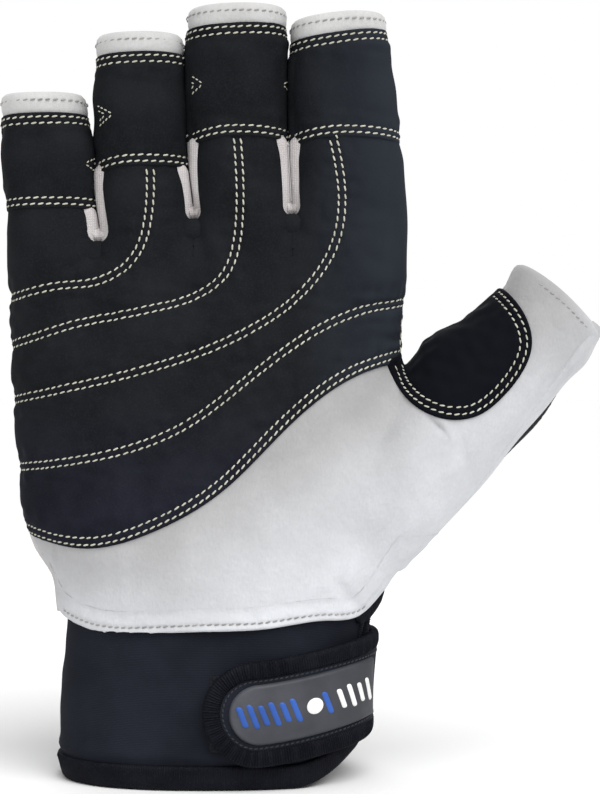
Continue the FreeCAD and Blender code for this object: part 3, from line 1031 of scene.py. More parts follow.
def grid_faces(rows, columns, loop_rows=False, loop_columns=False):
    """Quads between the points of a grid."""
    faces = []
    for i in range(rows if loop_rows else rows - 1):
        for j in range(columns if loop_columns else columns - 1):
            k, m = (i + 1) % rows, (j + 1) % columns
            faces.append((i * columns + j, i * columns + m, k * columns + m, k * columns + j))
    return faces


def grid_object(name, rows, material, body, nodes=(), loop_rows=False, loop_columns=False,
                caps=False, smooth_angle=60):
    """A piece made from rows of points; loops join the last row or column to the first."""
    rows = np.asarray(rows)
    n, m = rows.shape[:2]
    faces = grid_faces(n, m, loop_rows, loop_columns)
    if caps:
        faces += [tuple(range(m))[::-1], tuple(range((n - 1) * m, n * m))]
    piece = make_object(name, rows.reshape(-1, 3), faces, material, body, smooth_angle)
    if nodes:
        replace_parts(piece, *nodes)
    return piece


# A stitch's outline: place along it and size there, as shares of its half length and thickness.
BEAN = [(-1.0, 0.30), (-0.86, 0.72), (-0.45, 1.0), (0.45, 1.0), (0.86, 0.72), (1.0, 0.30)]


def beans(places, length, width, height):
    """Small rounded stitches. Places are (centre, along, up)."""
    points, faces = [], []
    turn = closed_turn(8)
    for centre, along, up in places:
        across = np.cross(along, up)
        first = len(points)
        for at, size in BEAN:
            dip = -0.25 * height * (1 - size)
            for a in turn:
                sideways = across * (math.cos(a) * width / 2 * size)
                upwards = up * (math.sin(a) * height / 2 * size + dip)
                points.append(centre + along * (at * length / 2) + sideways + upwards)
        faces += [tuple(first + i for i in face) for face in grid_faces(len(BEAN), 8, loop_columns=True)]
        faces.append(tuple(first + i for i in range(8))[::-1])
        faces.append(tuple(first + 8 * (len(BEAN) - 1) + i for i in range(8)))
    return points, faces


SLANT = math.radians(11)   # how far each stitch turns from its row


def sunk(thickness):
    """How high stitches lie on a panel of this thickness, pulled a little into it."""
    return lambda points: thickness(points) - 0.02


class Stitching:
    """Collects stitches by the body key they are given, then makes one piece for each."""

    def __init__(self, name, material, slot, length=1.52, pitch=1.95, width=0.48, height=0.38):
        self.name, self.material, self.slot = name, material, slot
        self.length, self.pitch, self.width, self.height = length, pitch, width, height
        self.groups = {}

    def row(self, path, lift, body, field=outside, phase=0.0):
        """Stitches along a surface line, lifted off the surface by lift (a number or function)."""
        path = resampled(path, 0.35)
        length = lengths_along(path)
        at = np.arange(self.pitch * (0.5 + phase), length[-1] - self.pitch * 0.3, self.pitch)
        centre, ahead, behind = (
            np.stack([np.interp(at + shift, length, path[:, k]) for k in range(3)], axis=1)
            for shift in (0.0, 0.8, -0.8))
        along = unit(ahead - behind)
        up = gradient(field, centre)[1]
        up = unit(up - along * (up * along).sum(axis=1)[:, None])
        along = along * math.cos(SLANT) - np.cross(along, up) * math.sin(SLANT)
        height = lift(centre) if callable(lift) else np.full(len(centre), float(lift))
        centre = centre + up * height[:, None]
        for place in zip(centre, along, up):
            key = body(place[0]) if callable(body) else body
            self.groups.setdefault(key, []).append(place)

    def make(self):
        for number, (key, places) in enumerate(sorted(self.groups.items(), key=str)):
            points, faces = beans(places, self.length, self.width, self.height)
            make_object(f"{self.name}_{number}", points, faces, self.material, key, 70)


# ---------------------------------------------------------------- the hand's panels

cell = 1.2
body_skin = surface_net(outside, (-62, -34, 38), (104, 34, 136), cell).relaxed(outside, 3)
x, y, z = body_skin.points.T
along, across = thumb_axes(x, z)
thumb_cut = np.where(across > -25, THUMB_END - 2.2 - 0.09 * (across + 1) - along, 9.0)
body_skin = body_skin.clipped(np.minimum(SPLIT - z, thumb_cut))


def near_part(keep, finer=True):
    """The triangles of the hand's skin marked by keep, cut finer where asked."""
    part = body_skin.only(keep[body_skin.triangles].all(axis=1))
    return part.refined(outside) if finer else part


def side_line(x, low, high):
    """Where front and back panels meet: low on the thumb side, high on the little-finger side."""
    return low + (high - low) * (1 - ease(x, -32, -28))


def gusset_back(z):
    """The side gusset's back edge: wide at the wrist, running out to nothing below the little finger."""
    return 7.0 - 8.4 * ease(z, 64, 124)


def hand_part(front=True):
    """Distances inside the palm's or the back's outline: of the part that blends into the thumb, and of
    the small part at the index finger's root that stays with the hand."""
    x, y, z = body_skin.points.T
    index_base = np.minimum(past_crotch(x, z), -thumb_side(x, z))
    if front:
        inside = np.minimum(side_line(x, 1.0, -2.0) - y, z - HEM_EDGE(np.clip(x, -44, 46)))
    else:
        inside = np.minimum(y - side_line(x, 1.0, gusset_back(z)), z - 41.5 - 1.8 * ease(x, 34, 44))
    return np.minimum(inside, -index_base), np.minimum(inside, index_base)


main, base = hand_part(front=True)
panel("palm_suede", body_skin.clipped(main), 0, -LINING, SUEDE, THUMB_BLEND,
      ["palm_panel", "thumb_front"])
panel("palm_suede_index", body_skin.clipped(base), 0, -LINING, SUEDE, "hand")
main, base = hand_part(front=False)
panel("back_stretch", body_skin.clipped(main), 0, -LINING, BACK, THUMB_BLEND,
      ["back_panel", "thumb_back"])
panel("back_stretch_index", body_skin.clipped(base), 0, -LINING, BACK, "hand")

x, y, z = body_skin.points.T
gusset = np.minimum(np.minimum(y + 2.0, gusset_back(z) - y), np.minimum(-28 - x, z - 42.0))


def gusset_thickness(points):
    x, y, z = points.T
    edge = np.minimum(y + 2.6, gusset_back(z) + 0.6 - y)
    return 0.15 + 1.3 * ease(edge, 0, 4.0) * (1 - ease(z, 66, 90))


panel("side_gusset", body_skin.clipped(gusset), gusset_thickness, -LINING, SIDE_SUEDE, "hand",
      ["side_panel"])


# ---------------------------------------------------------------- the quilted overlay

quilt_rows = []
for k, line in enumerate(QUILT_LINES):
    quilt_rows += rows_of(line, (0.85, -0.85), left=True, right=(k == 3))
edge_rows = rows_of(EDGE_LINE, (1.0, 2.7), left=True, right=True)
near_rows = Near(quilt_rows + edge_rows)
pucker = Waves(5, 5.5)
slack = Waves(8, 21.0)


def overlay_edge(x, y, z):
    """Distance inside the overlay's outline, with the U of each web cut out."""
    edge = np.minimum(above_edge(x, z), 3.0 - y)
    for web in WEBS:
        edge = np.minimum(edge, web.clear(x, z))
    return edge


# Folds of the quilted overlay, in the same form as FOLDS.
QUILT_FOLDS = [
    (-31, 134, -41, 128, 1.8, -0.5), (-29, 133, -19, 128, 2.0, -0.4), (-5, 141, -1, 127, 1.7, -0.8),
    (-7, 139, -16, 130, 2.0, -0.5), (19, 142, 13, 131, 2.0, -0.55), (20, 142, 27, 132, 2.0, -0.5),
    (-50, 133, -39, 136, 2.0, -0.45), (-10, 133, -5, 123, 2.4, 0.4), (36, 134, 44, 130, 2.2, -0.5),
    (34, 147, 43, 144, 2.2, -0.4), (-2, 112, 10, 120, 2.6, 0.35), (30, 110, 42, 113, 2.2, -0.45),
]


def overlay_thickness(points):
    x, y, z = points.T
    edge = overlay_edge(x, y, z)
    rows = near_rows(points)
    thick = edge_profile(edge, LAYER, 1.1, 0.3)
    thick += 0.50 * (1 - bell(rows, 4.5)) * ease(edge, 0.5, 4.5) * (1 - 0.8 * ease(z, 140, 158))
    thick -= 0.40 * bell(rows, 0.8)
    thick += (0.16 * pucker(points) * bell(rows - 2.2, 3.0) + 0.16 * slack(points)) * ease(edge, 0, 3)
    return np.maximum(thick + creases(x, z, QUILT_FOLDS) * ease(edge, 0.5, 3), 0.25)


x, y, z = body_skin.points.T
rough = (overlay_edge(x, y, z) > -3) & (thumb_side(x, z) < 3)
overlay_skin = near_part(rough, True)
x, y, z = overlay_skin.points.T
overlay_cut = np.minimum(np.minimum(overlay_edge(x, y, z), -thumb_side(x, z)), SPLIT - z)
overlay_skin = overlay_skin.clipped(overlay_cut)
panel("overlay", overlay_skin, overlay_thickness, -0.1, QUILT, "hand", ["palm_overlay"])

cream = Stitching("stitches", CREAM, "thread_cream")


def overlay_body(point):
    """The body key for a stitch of the overlay: the hand, or the finger it has reached."""
    if point[2] < SPLIT:
        return "hand"
    for index, web in enumerate(WEBS):
        if point[0] < web.line(point[2]):
            return finger_blend(index)
    return finger_blend(3)


for number, row in enumerate(quilt_rows + edge_rows):
    cream.row(row, sunk(overlay_thickness), overlay_body, phase=0.37 * (number % 2))


# ---------------------------------------------------------------- the crotch patch

def patch_edge(x, y, z):
    """Distance inside the crotch patch's outline."""
    return np.minimum(PATCH(x, z), 7.0 - y)


patch_rows = [resampled(on_palm(beside(PATCH_EDGE, offset)[4:-2]), 0.4) for offset in (1.3, 3.0)]
patch_rows = [row[row[:, 1] < -2.0] for row in patch_rows]
near_patch = Near(patch_rows)


def patch_thickness(points):
    x, y, z = points.T
    edge = patch_edge(x, y, z)
    rows = near_patch(points)
    thick = edge_profile(edge, 1.05, 1.0, 0.3) - 0.38 * bell(rows, 0.75)
    thick += 0.35 * (1 - bell(rows, 3.0)) * ease(edge, 0.5, 4.0) * (1 - 0.7 * ease(z, 118, 128))
    along, across = thumb_axes(x, z)
    thick += (1.4 * bell(along - 123, 6.5) - 0.6 * bell(along - 133.5, 2.2)) * ease(-across, 14, 20)
    return thick + 0.12 * pucker(points) * ease(edge, 0, 3)


x, y, z = body_skin.points.T
rough = (patch_edge(x, y, z) > -3) & (z > 88)
patch_skin = near_part(rough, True)
x, y, z = patch_skin.points.T
along, across = thumb_axes(x, z)
patch_skin = patch_skin.clipped(np.minimum(patch_edge(x, y, z), THUMB_END - 2.5 - along))
panel("crotch_patch_cover", patch_skin, patch_thickness, -0.1, PATCH_CLOTH, THUMB_BLEND,
      ["crotch_patch", "thumb_patch"])
for number, row in enumerate(patch_rows):
    cream.row(row, sunk(patch_thickness), THUMB_BLEND, phase=0.4 * number)


# ---------------------------------------------------------------- fingers

# A finger hem's section: distance below the rim, and distance out from the finger's surface.
HEM_FOLD = [(5.6, 0.15), (5.0, 0.75), (3.6, 1.05), (1.6, 1.05), (0.5, 0.85), (-0.15, 0.25), (-0.3, -0.45),
            (0.1, -1.15), (1.2, -1.55), (4.0, -1.6), (6.0, -1.5), (6.2, -1.05), (5.9, -0.4)]


def finger_centre(finger, z):
    return finger.middle(z), finger.lean(z)


def make_finger(index):
    """One finger's panels, stitches and hem. Gives back the thickness of its wrap."""
    finger, field, body = FINGERS[index], finger_field(index), finger_blend(index)
    name = finger.name
    low, high = finger.wrap
    webs = WEBS[max(index - 1, 0):index + 1]

    def across(x, z):
        return (x - finger.middle(z)) / finger.half(z)

    skin = finger_skin(index)
    x, y, z = skin.points.T
    u = across(x, z)
    depth = y - finger.lean(z)
    split = np.where(finger.outer(u), 2.6, 0.42 * finger.deep(z))
    tip = finger.tip - 1.0 + finger.crown * (0.3 - u ** 2) + finger.slant[1] * u

    def side_fullness(points):
        x, y, z = points.T
        gap = np.full(len(x), 9.0)
        for web in webs:
            gap = np.minimum(gap, np.abs(x - web.line(z)))
        full = np.clip(gap - 0.05, 0, 2.2) * (gap < 4) * ease(z, SPLIT + 1, SPLIT + 5)
        depth = np.abs(y - finger.lean(z) + 0.5)
        return full * (1 - ease(z, low - 1.5, low + 3.5)) * (1 - ease(depth, 4.5, 8.5))

    panel(name + "_sides", skin.clipped(np.minimum(split - depth, tip - z)), side_fullness, -1.0, KNIT,
          body, [name + "_fourchettes", name + "_front"])

    def back_fullness(points):
        x, y, z = points.T
        full = np.zeros(len(x))
        for web in webs:
            gap = np.abs(x - web.line(z))
            near = np.clip(gap - 0.03, 0, 2.6) * (gap < 4.5)
            full = np.maximum(full, near * (1 - ease(z, web.closed - 6, web.closed)))
        depth = y - finger.lean(z) - 0.42 * finger.deep(z)
        return full * ease(z, SPLIT + 1, SPLIT + 5) * ease(depth, 0.3, 1.8) * (1 - ease(depth, 3.5, 6.0))

    panel(name + "_back_stretch", skin.clipped(np.minimum(depth - split, tip - z)), back_fullness, -1.0,
          BACK, body, [name + "_back"])

    fine = skin.refined(field)
    x, y, z = fine.points.T
    front = np.where(finger.outer(across(x, z)), 3.0 - y, -0.5 - (y - finger.lean(z)))
    tongue = np.minimum(np.minimum(overlay_edge(x, y, z), front), low + 4.5 - z)

    def tongue_thickness(points):
        return overlay_thickness(points) * (1 - 0.45 * ease(points[:, 2], low - 6, low + 1))

    panel(name + "_tongue_quilt", fine.clipped(tongue), tongue_thickness, -0.1, QUILT, body,
          [name + "_tongue"])

    def band_low(x):
        u = across(x, low)
        return low - np.where(u < 0, finger.droop[0], finger.droop[1]) * np.clip(u, -1.2, 1.2) ** 2

    def band_high(x):
        return high + finger.slant[0] * np.clip(across(x, high), -1.2, 1.2)

    rows = []
    angles = np.radians(np.linspace(-188, 8, 120))
    for lower, inset in ((True, 1.1), (True, 2.7), (False, 1.1), (False, 2.7)):
        level = low + inset if lower else high - inset
        centre = finger_centre(finger, level)
        ring = around(field, centre, angles, level)
        heights = band_low(ring[:, 0]) + inset if lower else band_high(ring[:, 0]) - inset
        rows.append(resampled(around(field, centre, angles, heights), 0.4))
    near_band = Near(rows)

    def band_edge(x, y, z):
        behind = np.where(finger.outer(across(x, z)), 3.0, 2.2) - (y - finger.lean(z))
        return np.minimum(np.minimum(z - band_low(x), band_high(x) - z), behind)

    def band_thickness(points):
        x, y, z = points.T
        edge = band_edge(x, y, z)
        rows = near_band(points)
        thick = 0.45 + edge_profile(edge, 1.05, 1.0, 0.3) - 0.34 * bell(rows, 0.75)
        thick += (0.35 * (1 - bell(rows, 3.5)) + 0.22 * slack(points * 1.6)) * ease(edge, 1.0, 6)
        thick += 0.14 * pucker(points) * bell(rows - 2, 3.0) * ease(edge, 0, 2)
        for web in webs:
            gap = np.abs(x - web.line(z))
            touch = np.clip(gap - 0.02 - thick, 0, 1.5) * (gap < 4.5)
            level = ease(z, low - 2.6, low + 0.2) * (1 - ease(z, web.closed - 5, web.closed))
            front = 1 - ease(np.abs(y - finger.lean(z) + 1.5), 2.0, 4.5)
            thick += touch * level * front * ease(edge, 0, 1.0)
        return thick

    panel(name + "_band", fine.clipped(band_edge(x, y, z)), band_thickness, 0.1, QUILT, body,
          [name + "_wrap"])
    for number, row in enumerate(rows):
        visible = row[row[:, 1] - finger.lean(row[:, 2]) < 1.6]
        cream.row(visible, sunk(band_thickness), body, field, phase=0.4 * (number % 2))

    angles = closed_turn(120)
    wave = Waves(30 + index, 14.0)
    hem = []
    for drop, offset in HEM_FOLD:
        ring = around(field, finger_centre(finger, finger.tip), angles, finger.top(angles) - drop)
        ripple = 0.12 * wave(ring) * (offset > 0)
        hem.append(ring + level_normals(field, ring) * (offset + ripple)[:, None])
    grid_object(name + "_hem_ring", hem, HEM_SUEDE, body, [name + "_hem"],
                loop_rows=True, loop_columns=True)
    return band_thickness


BAND_THICKNESS = [make_finger(index) for index in range(len(FINGERS))]


# ---------------------------------------------------------------- webs between the fingers

BETWEEN = [f"{left}_{right}" for left, right in zip(FINGER_NAMES, FINGER_NAMES[1:])]
for web, between in zip(WEBS, BETWEEN):
    rows = []
    half = web.half * 0.55
    for v in np.linspace(-1, 1, 25):
        bottom = web.bottom - 2.4 - 2.6 * v ** 2
        middle = float(web.line(bottom))
        ring = []
        for a in np.linspace(-115, 115, 25):
            bent = math.radians(min(max(a, -90), 90))
            rise = 1.6 * max(0.0, (abs(a) - 90) / 25)
            ring.append((middle + half * math.sin(bent), 0.8 + 7.2 * v,
                         bottom + half * (1 - math.cos(bent)) + 2.2 * rise))
        rows.append(ring)
    skin = tube_skin(rows, closed=False)
    skin = Skin(skin.points, -skin.normals, skin.triangles[:, ::-1])
    panel("web_saddle_" + between, skin, 0, -0.9, KNIT, "hand", ["web_" + between])


def fold(name, centre, size, crease, material):
    """A small rounded fold of cloth, with a crease up its front."""
    rows = []
    for a in np.linspace(0.04, math.pi - 0.04, 19):
        ring = []
        for b in closed_turn(32):
            u, v, w = math.sin(a) * math.cos(b), math.sin(a) * math.sin(b), math.cos(a)
            pinch = math.exp(-(u / 0.2) ** 2) * max(0.0, -v) ** 0.5 * (0.4 + 0.6 * max(0.0, w))
            pinch = 1 - crease * pinch
            ring.append((centre[0] + size[0] * u, centre[1] + size[1] * v * pinch,
                         centre[2] + size[2] * w))
        rows.append(ring)
    grid_object(name, rows, material, "hand", loop_columns=True, caps=True)


def palm_level(x, z, away):
    """How far forward the palm's surface lies on either side of a place."""
    return on_palm(np.array([[x - away, z], [x + away, z]]))[:, 1].mean()


# The folded knit that closes the foot of each U, and the quilt's fullness right below it.
for web, between in zip(WEBS, BETWEEN):
    foot = float(web.bottom)
    x0 = float(web.line(foot))
    y0 = palm_level(x0, foot, web.half + 0.8)
    fold("web_fold_" + between, (x0, y0 + 6.6, foot + 2.1), (1.02 * web.half, 4.6, 2.4), 0.7, KNIT)
    y0 = palm_level(x0, foot - 2.6, 2.6)
    fold("web_quilt_" + between, (x0, y0 + 1.2, foot - 3.2), (5.2, 2.5, 3.9), 0.0, QUILT)


# ---------------------------------------------------------------- thumb hem and seam strip

THUMB_MIDDLE = float((THUMB.left(150) + THUMB.right(150)) / 2)


def around_thumb(angles, along_at):
    """Points round the thumb at distances along it. Angle 0 is its outer edge."""
    along_at = np.broadcast_to(along_at, angles.shape)
    start = THUMB_ALONG * along_at[:, None] + THUMB_ACROSS * THUMB_MIDDLE
    direction = THUMB_ACROSS * np.cos(angles)[:, None] + np.array([0, 1.0, 0]) * np.sin(angles)[:, None]
    return first_crossing(outside, start, direction, 30)


def thumb_end(angles):
    """How far along the thumb its opening is: a little further on the inner side."""
    return THUMB_END - 1.4 - 1.3 * np.cos(angles) + 0.5 * np.sin(angles) ** 2


# The thumb hem's section, in the same form as HEM_FOLD.
THUMB_FOLD = [(9.5, -0.22), (7.0, 0.01), (4.6, 0.26), (2.7, 0.48), (1.3, 0.55), (0.4, 0.40),
              (-0.25, -0.05), (-0.4, -0.55), (0.0, -1.2), (1.2, -1.55), (4.0, -1.6), (6.0, -1.5),
              (6.2, -1.0), (5.4, -0.4)]
angles = closed_turn(140)
wave = Waves(41, 15.0)
hem = []
for drop, offset in THUMB_FOLD:
    ring = around_thumb(angles, thumb_end(angles) - drop)
    slope = gradient(outside, ring)[1]
    slope = unit(slope - THUMB_ALONG * (slope @ THUMB_ALONG)[:, None])
    hem.append(ring + slope * (offset + 0.15 * wave(ring) * (offset > 0))[:, None])
grid_object("thumb_hem_ring", hem, SUEDE, THUMB_BLEND, ["thumb_hem"],
            loop_rows=True, loop_columns=True)

faint = Stitching("hem_stitches", GREY_THREAD, "thread_cream", 1.3, 1.8, 0.42, 0.34)
angles = np.radians(np.linspace(-178, 178, 150))
faint.row(around_thumb(angles, thumb_end(angles) - 2.1), 0.50, THUMB_BLEND)
for index, finger in enumerate(FINGERS):
    field = finger_field(index)
    ring = around(field, finger_centre(finger, finger.tip), angles, finger.top(angles) - 1.8)
    faint.row(ring, 1.12, finger_blend(index), field)

count, lanes = 130, 15
along_at = np.repeat(np.linspace(76, THUMB_END - 1.6, count), lanes)
lane = np.tile(np.linspace(0, 1, lanes), count)
ring = around_thumb(np.radians(5 - 45 * (1 - lane) * (0.12 + 0.88 * ease(along_at, 78, 104))), along_at)
slope = unit(gradient(outside, ring)[1])
crown = np.tile(np.clip(1 - np.linspace(-1, 1, lanes) ** 4, 0, 1) ** 0.5, count)
lift = 0.05 + crown * (0.12 + 0.5 * ease(along_at, 114, 132) + 1.1 * bell(along_at - 142, 5.0))
lift *= ease(along_at, 76, 90)
over = (ring + slope * lift[:, None]).reshape(count, lanes, 3)
under = (ring - slope * 0.4).reshape(count, lanes, 3)[:, ::-1]
rows = np.concatenate([over, under], axis=1)
grid_object("thumb_seam_edge", rows, SUEDE, THUMB_BLEND, ["thumb_seam_strip"],
            loop_columns=True, caps=True)


# ---------------------------------------------------------------- palm hem

def hem_height(x, z):
    """Distance above the palm hem's lower edge."""
    slope = HEM_EDGE(np.clip(x, -43.5, 45.5) + 0.5) - HEM_EDGE(np.clip(x, -43.5, 45.5) - 0.5)
    return (z - HEM_EDGE(np.clip(x, -44, 46))) / np.sqrt(1 + slope ** 2)


def palm_hem_thickness(points):
    x, y, z = points.T
    up = hem_height(x, z)
    thick = 0.06 + 0.62 * (1 - ease(up, 1.9, 5.2))
    thick *= np.sqrt(np.clip(1 - np.clip(1 - up / 0.7, 0, 1) ** 2, 0.02, 1))
    return thick - 0.22 * bell(up - 1.7, 0.5) + 0.05 * pucker(points)


x, y, z = body_skin.points.T
up = hem_height(x, z)
hem_skin = near_part((up > -3) & (up < 9) & (y < 4))
x, y, z = hem_skin.points.T
up = hem_height(x, z)
hem_skin = hem_skin.clipped(np.minimum(np.minimum(up, 5.6 - up), side_line(x, 1.6, -1.8) - y))
panel("palm_hem_strip", hem_skin, palm_hem_thickness, -0.2, SUEDE, "hand", ["palm_hem"])
line = smooth_line([(x, float(HEM_EDGE(x)) + 1.75) for x in np.linspace(-38.5, 38, 40)])
faint.row(on_palm(line), lambda points: palm_hem_thickness(points) + 0.10, "hand")
faint.make()


# ---------------------------------------------------------------- cuff

CUFF = Section(
    left=[(0, -39.8), (6, -40.6), (12, -40.7), (22, -40.4), (34, -39.4), (42, -39.2), (52, -41.2)],
    right=[(0, 36.4), (10, 37.2), (22, 37.4), (32, 38.2), (42, 39.6), (52, 42.8)],
    front=[(0, 25.0), (20, 25.6), (42, 24.6), (52, 24.6)],
    back=[(0, 25.0), (20, 25.6), (42, 24.6), (52, 24.0)],
    power=2.35)
broad_wave, short_wave = Waves(61, 26.0), Waves(62, 9.0)


def cuff_wave(points):
    """The neoprene's own slight unevenness."""
    return 0.20 * broad_wave(points) + 0.05 * short_wave(points)


def around_cuff(angles, heights):
    return around(CUFF.distance, (0.0, 0.0), angles, heights)


def rim_height(x):
    """The rim rises towards the thumb side, where the corner of the front flap is rounded off."""
    return 9.0 * np.clip((x - 19.0) / 17.0, 0, 1.2) ** 2


def cuff_ring(angles, up, offset):
    """Points round the cuff, up above its rim and offset outwards."""
    level = np.broadcast_to(up, angles.shape).astype(float)
    ring = around_cuff(angles, level)
    for _ in range(3):
        level = up + rim_height(ring[:, 0]) * (1 - ease(up, 8, 34))
        ring = around_cuff(angles, level)
    slope = level_normals(CUFF.distance, ring)
    return ring + slope * (offset + cuff_wave(ring))[:, None], slope


SLIT_AT = math.radians(-13.0)   # the slit's place round the cuff
SLIT_GAP = math.radians(2.2)    # half its width


def from_slit(count):
    """Angles round the cuff from one edge of its slit to the other."""
    turn = np.linspace(SLIT_AT + SLIT_GAP, SLIT_AT + 2 * math.pi - SLIT_GAP, count)
    return turn - 2 * math.pi * (turn > math.pi)


turn = from_slit(300)
profile = [(u, 0.0) for u in np.linspace(0.8, 44, 46)] + [(47.5, 0.0), (47.8, -0.6), (47.5, -1.1)]
profile += [(u, -2.9) for u in (44, 30, 16, 4)] + [(0.9, -2.8), (0.5, -1.4)]
rows = []
for up, offset in profile:
    if offset == 0.0 and up < 44:
        offset = 0.55 * bell(up - 8.6, 1.6) - 0.30 * bell(up - 6.6, 0.8)
    rows.append(cuff_ring(turn, up, offset)[0])
grid_object("cuff_neoprene", rows, NEOPRENE, "hand", ["cuff_band"], loop_rows=True)


def ribbed(path, normals, across, width, height, depth):
    """Rows of points of a ribbed, rounded edge binding swept along a path."""
    length = lengths_along(path)
    turn = closed_turn(14)
    rows = []
    for point, normal, side, at in zip(path, normals, across, length):
        fade = min(1.0, 0.15 + at / 1.2, 0.15 + (length[-1] - at) / 1.2)
        rib = 1 + depth * math.sin(2 * math.pi * at / RIB_PITCH)
        ring = []
        for a in turn:
            c, s = math.cos(a), math.sin(a)
            u = math.copysign(abs(c) ** 0.75, c) * width / 2
            v = math.copysign(abs(s) ** 0.75, s) * height / 2
            ring.append(point + side * u * fade * (1 + 0.4 * (rib - 1)) + normal * (v * rib * fade))
        rows.append(ring)
    return rows


# The rim binding: a folded tape with overlocked ribs all the way round.
turn = from_slit(1500)
profile = [(6.3, 0.1), (6.1, 0.75), (5.3, 1.05), (4.4, 0.85), (2.6, 0.75), (1.1, 0.65), (0.25, 0.15),
           (0.0, -1.2), (0.3, -2.7), (1.2, -3.5), (4.0, -3.7), (6.0, -3.6), (6.3, -3.0)]
rows = []
for up, offset in profile:
    ring, slope = cuff_ring(turn, up, offset)
    length = lengths_along(ring)
    rib = 0.11 if up > 4 else 0.06
    rows.append(ring + slope * (rib * np.sin(2 * math.pi * length / RIB_PITCH))[:, None] * (offset > 0))
grid_object("cuff_rim_binding", rows, TAPE, "hand", ["cuff_binding"], loop_rows=True)

# The slit's two bound edges.
for side, label in ((-1, "front"), (1, "back")):
    heights = np.linspace(1.0, 42.0, 280)
    angles = np.full(len(heights), SLIT_AT + side * SLIT_GAP * 1.3)
    path, normals = cuff_ring(angles, heights, -1.5)
    across = np.cross(normals, (0, 0, 1.0))
    rows = ribbed(path, normals, across, 2.0, 4.2, 0.05)
    grid_object("slit_edge_" + label, rows, TAPE, "hand", ["slit_binding"],
                loop_columns=True, caps=True)

# The folded end of the binding, a short ribbed roll behind the palm's corner.
angles = np.radians(np.linspace(-21, -2, 90))
heights = np.linspace(41.6, 48.8, 90) - 0.9 * np.sin(np.linspace(0, math.pi, 90))
path, normals = cuff_ring(angles, heights, 0.45)
along = unit(np.gradient(path, axis=0))
rows = ribbed(path, normals, np.cross(along, normals), 4.6, 2.4, 0.10)
grid_object("binding_end_roll", rows, TAPE, "hand", ["pull_tab"],
            loop_columns=True, caps=True)


def on_cuff(x, z, h):
    """Places on the front of the cuff, h off it."""
    ring = on_palm(np.stack([x, z], axis=1), CUFF.distance)
    slope = level_normals(CUFF.distance, ring)
    return ring + slope * (h + cuff_wave(ring))[:, None]


# The loop half of the closure, a low pile sewn to the front of the cuff.
LEFT, RIGHT, LOW, HIGH = -1.0, 28.0, 9.5, 28.5
x, z = (v.ravel() for v in np.meshgrid(np.linspace(LEFT, RIGHT, 64), np.linspace(LOW, HIGH, 40)))
gap = np.minimum(np.minimum(x - LEFT, RIGHT - x), np.minimum(z - LOW, HIGH - z))
flat = on_cuff(x, z, 0.1 + edge_profile(gap, 0.5, 1.2, 0.02) + 0.05 * np.sin(x * 9.1) * np.sin(z * 8.3))
grid_object("loop_pile_field", flat.reshape(40, 64, 3)[::-1], LOOP, "hand", ["loop_field"])


# ---------------------------------------------------------------- closure strap

def strap_line():
    """Distance along the strap's middle, and the angle and height it has there."""
    angles = np.radians(np.concatenate([np.linspace(52, -5, 60), np.linspace(-6, -110, 160)]))
    ring = around_cuff(angles, 22.8)
    length = lengths_along(ring)
    hinge = np.interp(math.radians(5), -angles, length)
    return length - hinge, angles


STRAP_LENGTH, STRAP_ANGLE = strap_line()
STRAP_HALF = 13.0   # half the strap's width


def strap_middle(s):
    """Height of the strap's middle: it runs down towards its tip."""
    return 24.2 - 5.3 * ease(s, 0, 44)


def on_strap(s, t, h):
    """A place on the strap: s along it from the hinge, t across it, h off the cuff."""
    s, t, h = (v.astype(float).ravel() for v in np.broadcast_arrays(s, t, h))
    angle = np.interp(s + t * 0.075, STRAP_LENGTH, STRAP_ANGLE)
    level = strap_middle(s) + t
    ring = around_cuff(angle, level)
    slope = level_normals(CUFF.distance, ring)
    return ring + slope * h[:, None], slope


def tip_distance():
    """Where along the strap its tip lies, at 2.7 mm on the little-finger side of the middle."""
    ring = around_cuff(STRAP_ANGLE, 18.9)
    front = ring[:, 1] < 0
    return float(np.interp(2.7, -ring[front, 0], STRAP_LENGTH[front]))


STRAP_TIP = tip_distance()
STRAP_FOOT = -30.0           # where along it the sewn end starts
STRAP_HINGE = 0.0428 / MM    # X of the line where it starts to bend
STRAP_BLEND = ("hand", "strap", (STRAP_HINGE, 2.0, 22.5), (STRAP_HINGE, -8.0, 22.5))


def strap_outline(inset, foot=STRAP_FOOT, spacing=0.14):
    """The strap's edge line set in by a distance: along the top, round the tip and back."""
    radius = STRAP_HALF - inset
    centre = STRAP_TIP - STRAP_HALF
    arc = [(centre + radius * math.sin(a), radius * math.cos(a)) for a in np.linspace(0, math.pi, 60)]
    line = [(foot, radius)] + arc + [(foot, -radius)]
    return resampled(line, spacing)


def slab(top, under):
    """Points and faces of a closed plate between two grids of points (row, column, 3)."""
    n, m = top.shape[:2]
    count = n * m
    flat = grid_faces(n, m)
    faces = [f[::-1] for f in flat] + [tuple(i + count for i in f) for f in flat]
    rim = list(range(m)) + [i * m + m - 1 for i in range(1, n)]
    rim += [(n - 1) * m + j for j in range(m - 2, -1, -1)] + [i * m for i in range(n - 2, 0, -1)]
    faces += [(a, b, b + count, a + count) for a, b in zip(rim, rim[1:] + rim[:1])]
    return np.concatenate([top.reshape(-1, 3), under.reshape(-1, 3)]), faces


